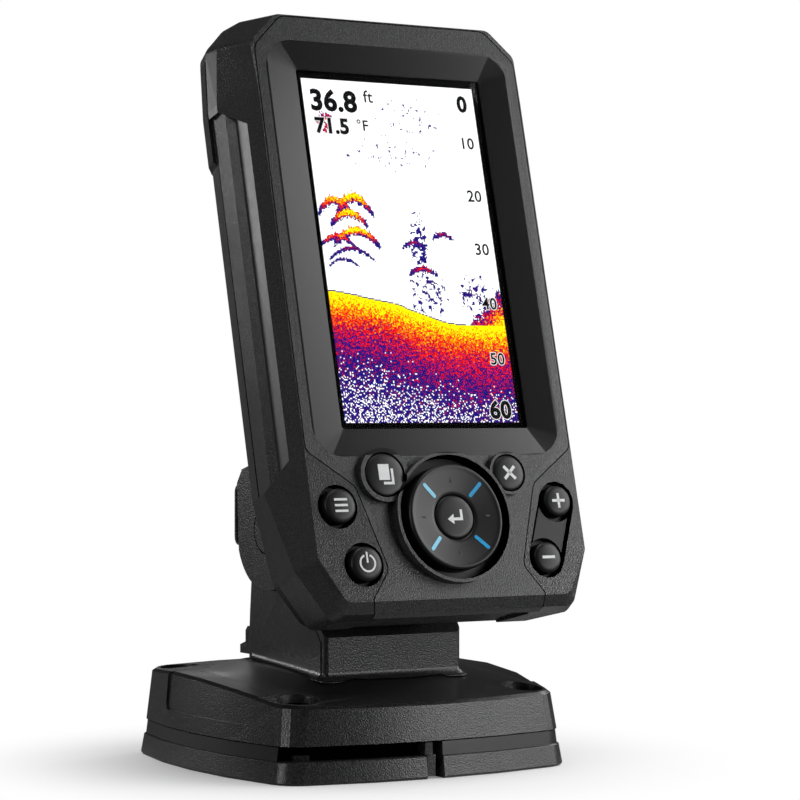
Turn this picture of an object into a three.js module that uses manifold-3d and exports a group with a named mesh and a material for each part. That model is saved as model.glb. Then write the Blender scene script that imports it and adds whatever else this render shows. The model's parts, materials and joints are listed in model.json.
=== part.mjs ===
// A handheld-size fish finder display on a tilt and swivel base.
// Millimetres, +Z up, the screen looks towards -Y. The origin is the centre of the base's underside.
import * as THREE from "three";
import { mergeVertices } from "three/addons/utils/BufferGeometryUtils.js";
import Module from "manifold-3d";

const wasm = await Module();
wasm.setup();

// Screen and lens. Display pieces use u to the right, v up the screen and w out of it, from the
// middle of the screen's lower edge.
const screenWidth = 53.9;
const screenHeight = 95.0;
const lipMargin = 1.9; // from the lit area to the edge of the surround
const lensThickness = 0.5;
const lensOverlap = 1.6; // how far the lens runs under the surround
const lcdBezel = 2.5;
const lcdThickness = 4.0;
const stackGap = 0.1; // between layers that rest on each other
const fitGap = 0.3; // between pieces that are let into each other

// Face plate
const faceHeight = 2.0; // the front face above the lit area
const plateThickness = 3.0;
const lipHeight = 1.25; // the surround's inner edge above the lit area
const faceHalfWidth = 40.7;
const faceTop = 111.4;
const faceTopCut = 8.7; // corner cut of the face at the top
const funnelHalfWidth = 38.15;
const funnelTop = 104.9;
const funnelBottom = -9.5;
const funnelRadius = 8.5;
const lipRadius = 0.8;
const waistTop = -7.6; // where the plate starts to narrow to the middle keys
const waistUpper = [27.4, -17.2];
const waistLower = [20.5, -39.4];
const tongueHalfWidth = 26.2; // the plate's foot on the bottom bevel
const faceBottom = -47.6;

// Front frame
const frameHalfWidth = 43.6;
const frameTop = 114.5;
const frameTopCut = 9.0;
const frameBottom = -50.6;
const frameLowCutWide = 8.0;
const frameLowCutTall = 14.0;
const creaseInset = 2.5; // from the rim in to the flat front of the frame
const creaseDrop = 1.3; // depth of the bevel along the bottom edge
const frameRadius = 3.2;
const sideBulge = 0.2; // the sides stand out this much between the corners
const bevelSpare = 1.5; // the face plate's bevel runs on this far past the rim
const wallFlare = 2.1; // the side walls spread this far down to the facet edge
const facetDepth = 13.3;
const facetLowLift = 6.8; // the facet edge comes this far forward at the low corners
const partingDepth = 18.9;
const shoulderTop = 90.8; // widest place of the side walls
// How far each level stands out from the rim at its bottom edge, low corner, grip foot, grip head,
// top corner and top edge.
const facetOffsets = [[1.0, -1.0], [0.3, -0.8], [wallFlare + 0.1, -0.2], [wallFlare, 0.2], [0.2, 2.1], [1.4, 1.1]];
const partingOffsets = [[-1.2, -0.3], [-1.9, -2.5], [1.3, 0.1], [1.9, 0], [0.7, 2.9], [3.0, 0.8]];
const caseOffsets = [[-2.2, 0.7], [-2.4, -1.4], [0.5, 0.1], [0.5, 0], [0.5, 2.9], [3.0, 0.8]];
const frameWall = 2.4;
const ledgeWidth = 1.6;
const ledgeThickness = 2.1;
const topNotchHalfWidth = 25.2; // the shallow middle of the top and bottom edges
const topNotchDepth = 0.8;
const bottomNotchHalfWidth = 24.5;
const bottomNotchDepth = 1.3;
const gripTop = 88.9; // the side grips, at their rear edge
const gripBottom = -15.4;
const gripSlant = 0.65; // how much a grip shortens towards the front
const gripFront = 3.4; // depths of the grip's steps below the screen plane
const gripValley = 9.3;
const gripRidge = 10.9;
const gripValleyInset = 1.6;
const gripRidgeInset = 0.1;
const gripRearInset = 1.4; // at the parting line

// Rear case
const gasketThickness = 0.5;
const gasketInset = 1.8;
const gasketWidth = 1.4;
const caseWaist = 25.5; // depth where the rear case turns in
const caseDepth = 32.0;
const caseWaistInset = 1.3;
const caseShoulderInset = 4.6;
const caseBackInset = 8.2;
const caseWall = 2.2;
const lowerBackCut = 6.0; // the back rises this far at the bottom edge
const lowerBackCutTall = 12.0;
const rearPadTop = 106.0; // bumpers on the case beside the frame's shoulders
const rearPadBottom = 74.0;
const rearPadProud = 1.0;
const rearPadRoot = 2.0;
const rearPadRise = 3.5;

// Boards and seals inside
const membraneThickness = 1.0;
const membraneHalfWidth = 36.0;
const membraneBottom = -44.0;
const membraneCutWide = 3.5;
const membraneCutTall = 5.0;
const membraneShoulder = -14.0;
const membraneNarrow = 26.0;
const membraneUpper = -5.0;
const boardThickness = 1.6;
const boardDepth = 9.0;
const boardHalfWidth = 27.0;
const boardTop = 104.0;
const boardBottom = -44.0;
const bossRadius = 3.2;
const boardBossU = 22.0;
const boardBossTop = 98.0;
const boardBossBottom = -30.0;
const screwHeadRadius = 2.6;
const screwHeadHeight = 1.8;
const screwShankRadius = 1.4;
const screwLength = 7.0;
const caseScrewU = 30.0;
const caseScrewTop = 101.5;
const caseScrewBottom = -8.0;
const caseBossWall = 2.3;
const caseScrewSeat = 4.0; // the head's depth in the back
const caseScrewBite = 4.9; // how far a screw goes in past the parting line
const faceBossRadius = 3.0;
const faceBossBore = 8.0;

// Keys
const keyHeight = 4.0; // top of a key above the lit area
const zoomKeyHeight = 3.1;
const sideGap = 0.25; // round a key
const keyShankDepth = 2.4;
const keyCrown = 0.5;
const menuKey = [-33.5, -22.6];
const powerKey = [-27.9, -37.9];
const zoomInKey = [34.05, -22.35];
const zoomOutKey = [28.35, -37.65];
const pagesKey = [-19.1, -14.7];
const exitKey = [19.1, -14.7];
const smallKeyRadius = 4.5;
const smallKeyHole = 5.8;
const zoomKeyRadius = 4.2;
const zoomSlotRadius = 5.5;
const pagesKeyRadius = 5.75;
const exitKeyRadius = 4.85;
const bossKeyGap = 0.3;
const pagesBossRadius = 7.25;
const exitBossRadius = 5.9;
const keyBossHeight = 3.6;
const padCentre = [0, -26.4];
const padRadius = 14.2;
const padHeight = 5.3;
const padDish = 1.2; // how deep the pad's top is at its middle
const padSkirtRadius = 16.4;
const padSkirtTop = 0.5;
const padBottom = -1.9;
const carrierInner = 6.3; // ring under the pad that lets it rock both ways
const carrierOuter = 8.0;
const carrierTop = -2.2;
const carrierBottom = -3.0;
const collarInner = 16.65;
const collarOuter = 17.5;
const collarHeight = 4.6;
const enterRadius = 5.85;
const enterGap = 0.25;
const enterHeight = 4.4;
const insertHeight = 1.3;

// Sockets on the back
const socketU = 15.0;
const socketV = 24.0;
const socketRadius = 7.5;
const socketBore = 5.8;
const socketProud = 7.0;

// Tilting head
const pivotHeight = 64.0; // above the base's underside
const screenTilt = 14.58; // degrees the screen leans back at rest
const screenAbovePivot = 17.2;
const screenAheadOfPivot = 51.0;
const cheekRadius = 16.7;
const cheekInner = 22.2;
const cheekThickness = 4.0;
const headPlateThickness = 2.7;
const headPlateTop = 19.3; // above the pivot
const headPlateBottom = -17.0;
const pinRadius = 4.0;
const pinBoreGap = 0.25; // round the pin in the neck, where it turns
const pinCapRadius = 6.5;
const pinCapThickness = 1.4;
const webThickness = 2.4;
const releaseHalfWidth = 22.8;
const releaseTop = 12.0; // above the pivot
const releaseBottom = -5.2;
const releaseRear = 24.8; // behind the pivot
const releaseWall = 1.0;
const releaseGap = 1.3;
const releaseSideGap = 0.8;
const releaseFront = 18.3;
const releaseBead = 0.72; // the rib that the release button rocks on
const releaseBeadY = 19.3;

// Neck
const neckHalfWidth = 21.7;
const neckFront = -24.6;
const neckRearLow = 19.0;
const neckRearHigh = 16.4;
const neckShoulder = 50.3;
const neckRearBend = 23.5;
const neckSlopeY = -18.2;
const neckSlopeTop = 43.5;
const neckHollowTop = 50.0;
const neckWall = 2.6;
const neckRadius = 1.6;
const neckFrontTop = 36.0;
const neckFootRadius = 2.0; // the round foot that joins the neck to the deck
const knuckleRadius = 13.0;
const coverThickness = 1.4;
const coverSeam = 0.5;
const coverTop = 57.5;
const coverTopY = -10.6;

// Deck and base
const baseHalf = 45.0; // half the width between the virtual corners, at the floor
const baseBow = 4.6; // how far each side bulges
const baseCorner = 6.6;
const baseDraft = 0.115; // the sides lean in this much for each millimetre up
const plateTop = 6.0;
const bandTop = 9.6;
const bandInset = 0.3;
const recessDepth = 5.0; // back wall of the band's front opening
const recessWall = 1.5;
const recessEnd = -36.0;
const baseFloor = 3.0;
const baseWall = 3.6;
const deckGap = 0.3;
const deckEdge = 20.4; // height of the deck's edge at the front
const deckRise = 0.05; // slope of the deck towards the rear
const deckFrontY = -38.6;
const deckEdgeRound = 0.8;
const deckArch = 2.2; // the deck's middle stands this much above the line from front to rear
const deckArchHalf = 34.0;
const deckDome = 2.5;
const deckDomeFoot = 11.0; // where the dome rises, in from the deck's edge
const deckDomeTop = 18.5;
const deckWall = 2.2;
const webLow = 11.2; // the housing's inner floor
const webHigh = 13.2;
const holeX = 35.0;
const holeY = 34.5;
const holeRadius = 5.7;
const postRadius = 5.2;
const postHeight = 4.2;
const postBore = 2.3;
const panelHalf = 24.0; // side recess panels
const panelY = -4.0;
const panelLow = 14.4;
const panelDepth = 0.7;
const panelReach = 20.0; // the panel's cutter reaches this far out of the side
const hubRadius = 13.0;
const hubGap = 0.3;
const hubBore = 8.0;
const bossOuter = 19.5;
const retainerRadius = 17.0;
const retainerThickness = 2.0;
const retainerTop = 3.2;
const retainerCeiling = 3.5;
const retainerHeadHeight = 1.1;
const retainerScrewCircle = 10.6;
const slotLeft = -4.3; // front slot of the lower plate
const slotRight = 0.8;
const tabLeft = -4.1;
const tabRight = -1.5;
const leverX = -2.8;
const leverPivotY = -25.0;
const leverPivotRadius = 2.2;
const leverGap = 0.15;
const leverWidth = 5.0;
const leverLow = 3.1;
const leverHigh = 6.0;

// Neck latch
const latchHalfWidth = 14.0; // in its window
const latchWide = 20.5; // outside the neck
const latchLow = 28.4;
const latchHigh = 36.2;
const latchPinHeight = 33.5;
const latchPinY = 16.9;
const latchPinSink = 2.0;
const latchPinRadius = 1.2;
const latchFront = 2.0; // reach of its steps from the pin
const latchPlateFront = 2.6;
const latchPlateRear = 5.5;
const latchLipRear = 8.7;
const latchLipHigh = 2.4; // heights above the latch's lower edge
const latchLipChamfer = 1.0;
const latchTopChamfer = 1.2;
const latchRootLow = 0.8;
const latchWindowGap = 0.5;

const fine = 24; // sides of a large round
const coarse = 14; // sides of a small round
const padSides = 36;
const arcSteps = 4; // parts of a rounded corner
const bowSteps = 4; // parts of a bulging side

// Solids

function solidOf(geometry) {
  const bare = geometry.index ? geometry.toNonIndexed() : geometry.clone();
  bare.deleteAttribute("normal");
  bare.deleteAttribute("uv");
  const merged = mergeVertices(bare, 1e-4);
  const vertProperties = new Float32Array(merged.attributes.position.array);
  const triVerts = new Uint32Array(merged.index.array);
  return new wasm.Manifold(new wasm.Mesh({ numProp: 3, vertProperties, triVerts }));
}

function geometryOf(solid) {
  const mesh = solid.getMesh();
  const geometry = new THREE.BufferGeometry();
  geometry.setAttribute("position", new THREE.BufferAttribute(mesh.vertProperties, 3));
  geometry.setIndex(new THREE.BufferAttribute(mesh.triVerts, 1));
  const flat = geometry.toNonIndexed();
  flat.computeVertexNormals();
  return flat;
}

function turned(geometry, x, y, z) {
  return geometry.clone().applyMatrix4(new THREE.Matrix4().makeRotationFromEuler(new THREE.Euler(x, y, z)));
}

function join(...solids) {
  return solids.reduce((whole, next) => whole.add(next));
}

function cut(whole, ...tools) {
  return tools.reduce((rest, tool) => rest.subtract(tool), whole);
}

// Outline helpers

// Points [x, y, radius] joined by straight lines, each corner rounded by its radius.
function filleted(corners, steps = arcSteps) {
  const points = [];
  corners.forEach(([x, y, radius], i) => {
    const before = corners[(i + corners.length - 1) % corners.length];
    const after = corners[(i + 1) % corners.length];
    const here = new THREE.Vector2(x, y);
    const back = new THREE.Vector2(before[0], before[1]).sub(here).normalize();
    const ahead = new THREE.Vector2(after[0], after[1]).sub(here).normalize();
    if (!radius) {
      points.push(here);
      return;
    }
    const half = Math.acos(THREE.MathUtils.clamp(back.dot(ahead), -1, 1)) / 2;
    const reach = radius / Math.tan(half);
    const start = here.clone().addScaledVector(back, reach);
    const end = here.clone().addScaledVector(ahead, reach);
    const centre = here.clone().add(
      back.clone().add(ahead).normalize().multiplyScalar(radius / Math.sin(half)),
    );
    const from = start.clone().sub(centre).angle();
    let sweep = end.clone().sub(centre).angle() - from;
    if (sweep > Math.PI) sweep -= 2 * Math.PI;
    if (sweep < -Math.PI) sweep += 2 * Math.PI;
    for (let k = 0; k <= steps; k += 1) {
      const angle = from + (sweep * k) / steps;
      points.push(new THREE.Vector2(
        centre.x + radius * Math.cos(angle),
        centre.y + radius * Math.sin(angle),
      ));
    }
  });
  return points;
}

// Corners of an outline moved out by a distance, or in by a negative one.
function grown(corners, distance) {
  return corners.map(([x, y, radius], i) => {
    const before = corners[(i + corners.length - 1) % corners.length];
    const after = corners[(i + 1) % corners.length];
    const first = new THREE.Vector2(x - before[0], y - before[1]).normalize();
    const second = new THREE.Vector2(after[0] - x, after[1] - y).normalize();
    const normal = new THREE.Vector2(first.y + second.y, -first.x - second.x).normalize();
    const reach = distance / Math.max(0.3, normal.x * first.y - normal.y * first.x);
    return [x + normal.x * reach, y + normal.y * reach, radius];
  });
}

// The right half of a symmetric outline, from the bottom up, made whole.
function mirrored(rightHalf) {
  const left = rightHalf.map(([x, y, radius]) => [-x, y, radius]).reverse();
  return [...rightHalf, ...left];
}

function circle(radius, sides = coarse, centre = [0, 0]) {
  return Array.from({ length: sides }, (_, i) => {
    const angle = (2 * Math.PI * i) / sides;
    return new THREE.Vector2(centre[0] + radius * Math.cos(angle), centre[1] + radius * Math.sin(angle));
  });
}

function rectangle(x0, y0, x1, y1, radius = 0) {
  return filleted([[x0, y0, radius], [x1, y0, radius], [x1, y1, radius], [x0, y1, radius]]);
}

// A straight prism on an outline, from one height to another.
function prism(points, low, high) {
  const geometry = new THREE.ExtrudeGeometry(new THREE.Shape(points), { depth: high - low, bevelEnabled: false });
  return solidOf(geometry.translate(0, 0, low));
}

function box(x0, x1, y0, y1, z0, z1) {
  const geometry = new THREE.BoxGeometry(x1 - x0, y1 - y0, z1 - z0);
  return solidOf(geometry.translate((x0 + x1) / 2, (y0 + y1) / 2, (z0 + z1) / 2));
}

function cylinder(radius, low, high, sides = coarse, centre = [0, 0]) {
  return prism(circle(radius, sides, centre), low, high);
}

// A prism along X on an outline given as [y, z].
function sidePrism(points, x0, x1) {
  const geometry = new THREE.ExtrudeGeometry(new THREE.Shape(points), { depth: x1 - x0, bevelEnabled: false });
  return solidOf(turned(geometry, Math.PI / 2, 0, 0).applyMatrix4(
    new THREE.Matrix4().makeRotationZ(Math.PI / 2),
  ).translate(x0, 0, 0));
}

// A closed solid through rings of as many points each, from the lowest ring up.
function loft(rings) {
  const count = rings[0].length;
  const vertices = rings.flat().flatMap((point) => [point.x, point.y, point.z]);
  const faces = [];
  for (let ring = 0; ring + 1 < rings.length; ring += 1) {
    for (let i = 0; i < count; i += 1) {
      const a = ring * count + i;
      const b = ring * count + ((i + 1) % count);
      faces.push(a, b, b + count, a, b + count, a + count);
    }
  }
  [rings[0], rings.at(-1)].forEach((ring, end) => {
    const middle = ring.reduce((sum, point) => sum.add(point), new THREE.Vector3()).divideScalar(count);
    const tip = vertices.length / 3;
    const first = end * (rings.length - 1) * count;
    vertices.push(middle.x, middle.y, middle.z);
    for (let i = 0; i < count; i += 1) {
      const here = first + i;
      const next = first + ((i + 1) % count);
      faces.push(...(end ? [here, next, tip] : [next, here, tip]));
    }
  });
  const geometry = new THREE.BufferGeometry();
  geometry.setAttribute("position", new THREE.Float32BufferAttribute(vertices, 3));
  geometry.setIndex(faces);
  return solidOf(geometry);
}

// Points of an outline at one height, or at a height that depends on the place.
function ringAt(points, height) {
  return points.map((point) => new THREE.Vector3(
    point.x, point.y, typeof height === "function" ? height(point.y) : height,
  ));
}

// A turned solid on a closed profile of [radius, height].
function lathe(profile, sides = fine) {
  const points = profile.map(([radius, height]) => new THREE.Vector2(radius, height));
  return solidOf(turned(new THREE.LatheGeometry(points, sides), Math.PI / 2, 0, 0));
}

// Scene graph

const fishFinder = new THREE.Group();
const swivel = new THREE.Group();
const tilt = new THREE.Group();
const display = new THREE.Group();
fishFinder.add(swivel);
swivel.add(tilt);
tilt.add(display);
tilt.position.set(0, 0, pivotHeight);
tilt.rotation.x = Math.PI / 2 - THREE.MathUtils.degToRad(screenTilt);
display.position.set(0, screenAbovePivot, screenAheadOfPivot);

const finishes = {
  shell: { color: 0x2b2c2d, roughness: 0.62, metalness: 0 },
  plate: { color: 0x313233, roughness: 0.58, metalness: 0 },
  key: { color: 0x1d1e1f, roughness: 0.5, metalness: 0 },
  rubber: { color: 0x151515, roughness: 0.85, metalness: 0 },
  glass: { color: 0x101214, roughness: 0.05, metalness: 0 },
  panel: { color: 0xe8ecf0, roughness: 0.3, metalness: 0 },
  board: { color: 0x1c4a2c, roughness: 0.6, metalness: 0 },
  steel: { color: 0xb8bcc0, roughness: 0.35, metalness: 1 },
  brass: { color: 0xb8964f, roughness: 0.35, metalness: 1 },
};

function place(group, name, solid, finish) {
  const mesh = new THREE.Mesh(geometryOf(solid), new THREE.MeshStandardMaterial(finishes[finish]));
  mesh.name = name;
  group.add(mesh);
  return mesh;
}

// Face plate and frame outlines

const plateCorners = mirrored([
  [tongueHalfWidth - 0.6, faceBottom - 4, 0],
  [tongueHalfWidth, faceBottom + 0.6, 1.2],
  [waistLower[0], waistLower[1], 3],
  [waistUpper[0], waistUpper[1], 5],
  [faceHalfWidth, waistTop, 3],
  [faceHalfWidth, faceTop - faceTopCut, 4],
  [faceHalfWidth - faceTopCut, faceTop, 4],
]);

const rimPlaces = [
  [frameHalfWidth - frameLowCutWide, frameBottom],
  [frameHalfWidth, frameBottom + frameLowCutTall],
  [frameHalfWidth + sideBulge, gripBottom],
  [frameHalfWidth + sideBulge, shoulderTop],
  [frameHalfWidth, frameTop - frameTopCut],
  [frameHalfWidth - frameTopCut, frameTop],
];

function levelCorners(offsets) {
  return mirrored(rimPlaces.map(([u, v], i) => [u + offsets[i][0], v + offsets[i][1], frameRadius]));
}

const rimCorners = levelCorners(rimPlaces.map(() => [0, 0]));
const facetCorners = levelCorners(facetOffsets);
const partingCorners = levelCorners(partingOffsets);
const caseCorners = levelCorners(caseOffsets);
const rimLevel = faceHeight - creaseDrop;

const bottomCreaseInset = faceBottom - frameBottom;

// The frame's outline at the crease of its front face, where the bevel starts.
const creaseCorners = grown(rimCorners, -creaseInset).map(([x, y, radius]) => [
  x,
  y < frameBottom + frameLowCutTall / 2 ? frameBottom + bottomCreaseInset : y,
  radius,
]);

// Depth of the facet edge, which comes forward below the grips.
function facetLevel(v) {
  const below = (gripBottom - v) / (gripBottom - frameBottom - frameLowCutTall);
  return -facetDepth + facetLowLift * THREE.MathUtils.clamp(below, 0, 1.4);
}

// The outline at the foot of the bottom bevel. Only the bottom edge is bevelled: the sides and the top
// run straight on from the crease to the facet edge.
const bevelFootCorners = rimCorners.map(([rimX, rimY, radius], i) => {
  if (rimY < frameBottom + frameLowCutTall / 2) return [rimX, rimY, radius];
  const [x, y] = creaseCorners[i];
  const [facetX, facetY] = facetCorners[i];
  const share = creaseDrop / (faceHeight - facetLevel(y));
  return [x + share * (facetX - x), y + share * (facetY - y), radius];
});

// The frame's outside, as rings from the parting line to the front.
function outerRings() {
  return [
    ringAt(filleted(partingCorners), -partingDepth),
    ringAt(filleted(facetCorners), facetLevel),
    ringAt(filleted(bevelFootCorners), rimLevel),
    ringAt(filleted(creaseCorners), faceHeight),
  ];
}

// What the grips take away from one side wall: stepped across the depth, slanted at both ends.
function gripCutter(side) {
  const wall = frameHalfWidth + sideBulge;
  const slope = (wallFlare + creaseInset) / (facetDepth + faceHeight);
  const flareAt = (depth) => wall - creaseInset + slope * (depth + faceHeight);
  const partingU = wall + partingOffsets[3][0];
  const reach = 6;
  const profile = [
    [flareAt(gripFront), -gripFront],
    [flareAt(gripValley) - gripValleyInset, -gripValley],
    [flareAt(gripRidge) - gripRidgeInset, -gripRidge],
    [partingU - gripRearInset, -partingDepth - 0.5],
    [partingU + reach, -partingDepth - 0.5],
    [partingU + reach, -gripFront],
  ].map(([u, w]) => new THREE.Vector2(side * u, w));
  if (side > 0) profile.reverse();
  const length = gripTop - gripBottom;
  const bar = new THREE.ExtrudeGeometry(new THREE.Shape(profile), { depth: length, bevelEnabled: false });
  const along = solidOf(turned(bar, Math.PI / 2, 0, 0).translate(0, gripTop, 0));
  const rear = partingDepth + 1;
  const slant = (depth) => (facetDepth - depth) * gripSlant;
  const ends = [
    [gripBottom + slant(rear), -rear],
    [gripTop - slant(rear), -rear],
    [gripTop - slant(0), 0],
    [gripBottom + slant(0), 0],
  ].map(([v, w]) => new THREE.Vector2(v, w));
  const keep = sidePrism(ends, -partingU - reach - 1, partingU + reach + 1);
  return along.intersect(keep);
}

function frameSolid() {
  const outer = loft(outerRings());
  const seat = prism(filleted(grown(plateCorners, fitGap)), faceHeight - plateThickness - stackGap, faceHeight + 5);
  const ledgeLow = faceHeight - plateThickness - stackGap - ledgeThickness;
  const ledge = prism(filleted(grown(plateCorners, -ledgeWidth), 2), ledgeLow - 1, faceHeight);
  const hollow = prism(filleted(grown(rimCorners, -frameWall), 1), -partingDepth - 1, ledgeLow).intersect(
    prism(filleted(grown(partingCorners, -frameWall - 0.4), 1), -partingDepth - 2, faceHeight),
  );
  const tops = [
    [-topNotchHalfWidth - 1, frameTop + 6],
    [-topNotchHalfWidth + topNotchDepth, frameTop - topNotchDepth],
    [topNotchHalfWidth - topNotchDepth, frameTop - topNotchDepth],
    [topNotchHalfWidth + 1, frameTop + 6],
  ].map(([u, v]) => new THREE.Vector2(u, v));
  const topNotch = prism(tops.reverse(), -partingDepth - 1, faceHeight + 1);
  const bottoms = [
    [-bottomNotchHalfWidth - 1, frameBottom - 6],
    [-bottomNotchHalfWidth + bottomNotchDepth, frameBottom + 0.2],
    [bottomNotchHalfWidth - bottomNotchDepth, frameBottom + 0.2],
    [bottomNotchHalfWidth + 1, frameBottom - 6],
  ].map(([u, v]) => new THREE.Vector2(u, v));
  const bottomNotch = prism(bottoms, -partingDepth - 1, faceHeight + 1);
  const holes = [menuKey, powerKey].map((key) => cylinder(smallKeyHole, ledgeLow - 1, faceHeight + 1, fine, key));
  return cut(
    outer, seat, ledge, hollow, topNotch, bottomNotch,
    gripCutter(1), gripCutter(-1), zoomSlot(zoomSlotRadius, ledgeLow - 1, faceHeight + 1), ...holes,
  );
}

// The slot that holds both zoom keys.
function zoomSlot(radius, low, high) {
  const across = new THREE.Vector2(zoomInKey[0] - zoomOutKey[0], zoomInKey[1] - zoomOutKey[1]);
  const angle = across.angle();
  const points = [];
  for (let k = 0; k <= coarse / 2; k += 1) {
    const turn = angle - Math.PI / 2 + (2 * Math.PI * k) / coarse;
    points.push(new THREE.Vector2(zoomInKey[0] + radius * Math.cos(turn), zoomInKey[1] + radius * Math.sin(turn)));
  }
  for (let k = 0; k <= coarse / 2; k += 1) {
    const turn = angle + Math.PI / 2 + (2 * Math.PI * k) / coarse;
    points.push(new THREE.Vector2(zoomOutKey[0] + radius * Math.cos(turn), zoomOutKey[1] + radius * Math.sin(turn)));
  }
  return prism(points, low, high);
}

function lipOutline(margin) {
  const half = screenWidth / 2 + lipMargin + margin;
  return rectangle(-half, -lipMargin - margin, half, screenHeight + lipMargin + margin, lipRadius + Math.max(0, margin));
}

function faceSolid() {
  const low = faceHeight - plateThickness;
  const slab = prism(filleted(plateCorners), low, keyBossHeight + 2);
  const bevelTool = loft([
    ringAt(filleted(grown(rimCorners, bevelSpare)), low - 1),
    ringAt(filleted(rimCorners), rimLevel),
    ringAt(filleted(creaseCorners), faceHeight),
  ]);
  const funnel = loft([
    ringAt(lipOutline(0), lipHeight),
    ringAt(rectangle(-funnelHalfWidth, funnelBottom, funnelHalfWidth, funnelTop, funnelRadius), faceHeight + 0.001),
    ringAt(rectangle(-funnelHalfWidth, funnelBottom, funnelHalfWidth, funnelTop, funnelRadius), faceHeight + 1),
  ]);
  const window = prism(lipOutline(0), low - 1, faceHeight + 1);
  const pocket = prism(lipOutline(lensOverlap + 0.2), low - 1, 2 * stackGap + lensThickness);
  const bosses = join(
    cylinder(collarOuter, low, collarHeight, padSides, padCentre),
    cylinder(pagesBossRadius, low, keyBossHeight, fine, pagesKey),
    cylinder(exitBossRadius, low, keyBossHeight, fine, exitKey),
  );
  const holes = [
    cylinder(collarInner, low - 1, collarHeight + 1, padSides, padCentre),
    cylinder(pagesKeyRadius + bossKeyGap, low - 1, collarHeight + 1, fine, pagesKey),
    cylinder(exitKeyRadius + bossKeyGap, low - 1, collarHeight + 1, fine, exitKey),
  ];
  const rearCaseBosses = -partingDepth - gasketThickness - 2 * stackGap - 0.2;
  const stand = rearCaseBosses + 0.1;
  const screwBosses = caseScrewPlaces().map((at) => cylinder(faceBossRadius, stand, low + 0.5, 12, at));
  const screwBores = caseScrewPlaces().map((at) => cylinder(screwShankRadius + 0.1, stand - 1, stand + faceBossBore, 12, at));
  const body = join(cut(slab.intersect(bevelTool), funnel), bosses, ...screwBosses);
  return cut(body, window, pocket, ...holes, ...screwBores);
}

function rearCaseSolid() {
  const front = -partingDepth - gasketThickness - 2 * stackGap;
  const base = caseCorners;
  const shape = (shrink, lift, steps) => [
    ringAt(filleted(grown(base, -caseBackInset - shrink), steps), -caseDepth + lift),
    ringAt(filleted(grown(base, -caseShoulderInset - shrink), steps), -caseDepth + 1.6 + lift),
    ringAt(filleted(grown(base, -caseWaistInset - shrink), steps), -caseWaist),
    ringAt(filleted(grown(base, -shrink), steps), front + (lift ? 1 : 0)),
  ];
  const outer = loft(shape(0, 0, arcSteps));
  const inner = loft(shape(caseWall, caseWall, 1));
  const slope = sidePrism([
    [frameBottom - 8, -caseDepth + lowerBackCut + 4],
    [frameBottom - 8, -caseDepth - 4],
    [frameBottom + lowerBackCutTall, -caseDepth - 4],
    [frameBottom + lowerBackCutTall, -caseDepth],
    [frameBottom, -caseDepth + lowerBackCut],
  ].map(([v, w]) => new THREE.Vector2(v, w)), -60, 60);
  const slopeInside = sidePrism([
    [frameBottom - 8, -caseDepth + lowerBackCut + caseWall + 4],
    [frameBottom - 8, -caseDepth - 4],
    [frameBottom + lowerBackCutTall, -caseDepth - 4],
    [frameBottom + lowerBackCutTall, -caseDepth + caseWall],
    [frameBottom, -caseDepth + lowerBackCut + caseWall],
  ].map(([v, w]) => new THREE.Vector2(v, w)), -60, 60);
  const side = frameHalfWidth + sideBulge + caseOffsets[3][0];
  const padRings = [
    [-caseDepth + 1.6, caseShoulderInset], [-caseWaist, caseWaistInset], [front - 0.6, 0],
  ].map(([depth, inset]) => [
    [-rearPadRoot, rearPadBottom], [rearPadProud, rearPadBottom + rearPadRise],
    [rearPadProud, shoulderTop], [-0.1, rearPadTop], [-rearPadRoot, rearPadTop],
  ].map(([u, v]) => new THREE.Vector3(side - inset + u, v, depth)));
  const pad = loft(padRings);
  const pads = [pad, pad.mirror([1, 0, 0])];
  const hollow = cut(inner, slopeInside);
  const shell = cut(join(cut(outer, slope), ...pads), hollow);
  const bossTop = -boardDepth - boardThickness - stackGap;
  const boardBosses = boardBossPlaces().map((at) => cylinder(bossRadius, -caseDepth + 1, bossTop, coarse, at));
  const screwBosses = caseScrewPlaces().map((at) => cylinder(screwHeadRadius + caseBossWall, -caseDepth + 1, front - 0.2, coarse, at));
  const counterbores = caseScrewPlaces().flatMap((at) => [
    cylinder(screwHeadRadius + 0.4, -caseDepth - 1, -caseDepth + caseScrewSeat, coarse, at),
    cylinder(screwShankRadius + 0.2, -caseDepth - 1, front + 1, coarse, at),
  ]);
  const boardHoles = boardBossPlaces().map((at) => cylinder(screwShankRadius, bossTop - 8, bossTop + 1, coarse, at));
  const socketHoles = [-1, 1].map((side) => cylinder(
    socketRadius - 1.2 + 0.3, -caseDepth - 1, -caseDepth + caseWall + 3, fine, [side * socketU, socketV],
  ));
  return cut(join(shell, ...boardBosses, ...screwBosses), ...counterbores, ...boardHoles, ...socketHoles);
}

function boardBossPlaces() {
  return [-1, 1].flatMap((side) => [[side * boardBossU, boardBossTop], [side * boardBossU, boardBossBottom]]);
}

function caseScrewPlaces() {
  return [-1, 1].flatMap((side) => [[side * caseScrewU, caseScrewTop], [side * caseScrewU, caseScrewBottom]]);
}

// A pan-head screw that points up its own +Z, its head below.
function screwSolid(headRadius, headHeight, shankRadius, length) {
  const crown = headHeight * 0.35;
  const socket = headHeight * 0.55;
  const body = lathe([
    [0, -headHeight], [headRadius - crown, -headHeight], [headRadius, -headHeight + crown],
    [headRadius, 0], [shankRadius, 0], [shankRadius, length], [0, length],
  ], 12);
  const arm = headRadius * 0.55;
  const thin = headRadius * 0.16;
  const cross = join(
    box(-arm, arm, -thin, thin, -headHeight - 1, -headHeight + socket),
    box(-thin, thin, -arm, arm, -headHeight - 1, -headHeight + socket),
  );
  return cut(body, cross);
}

// Display pieces

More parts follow.
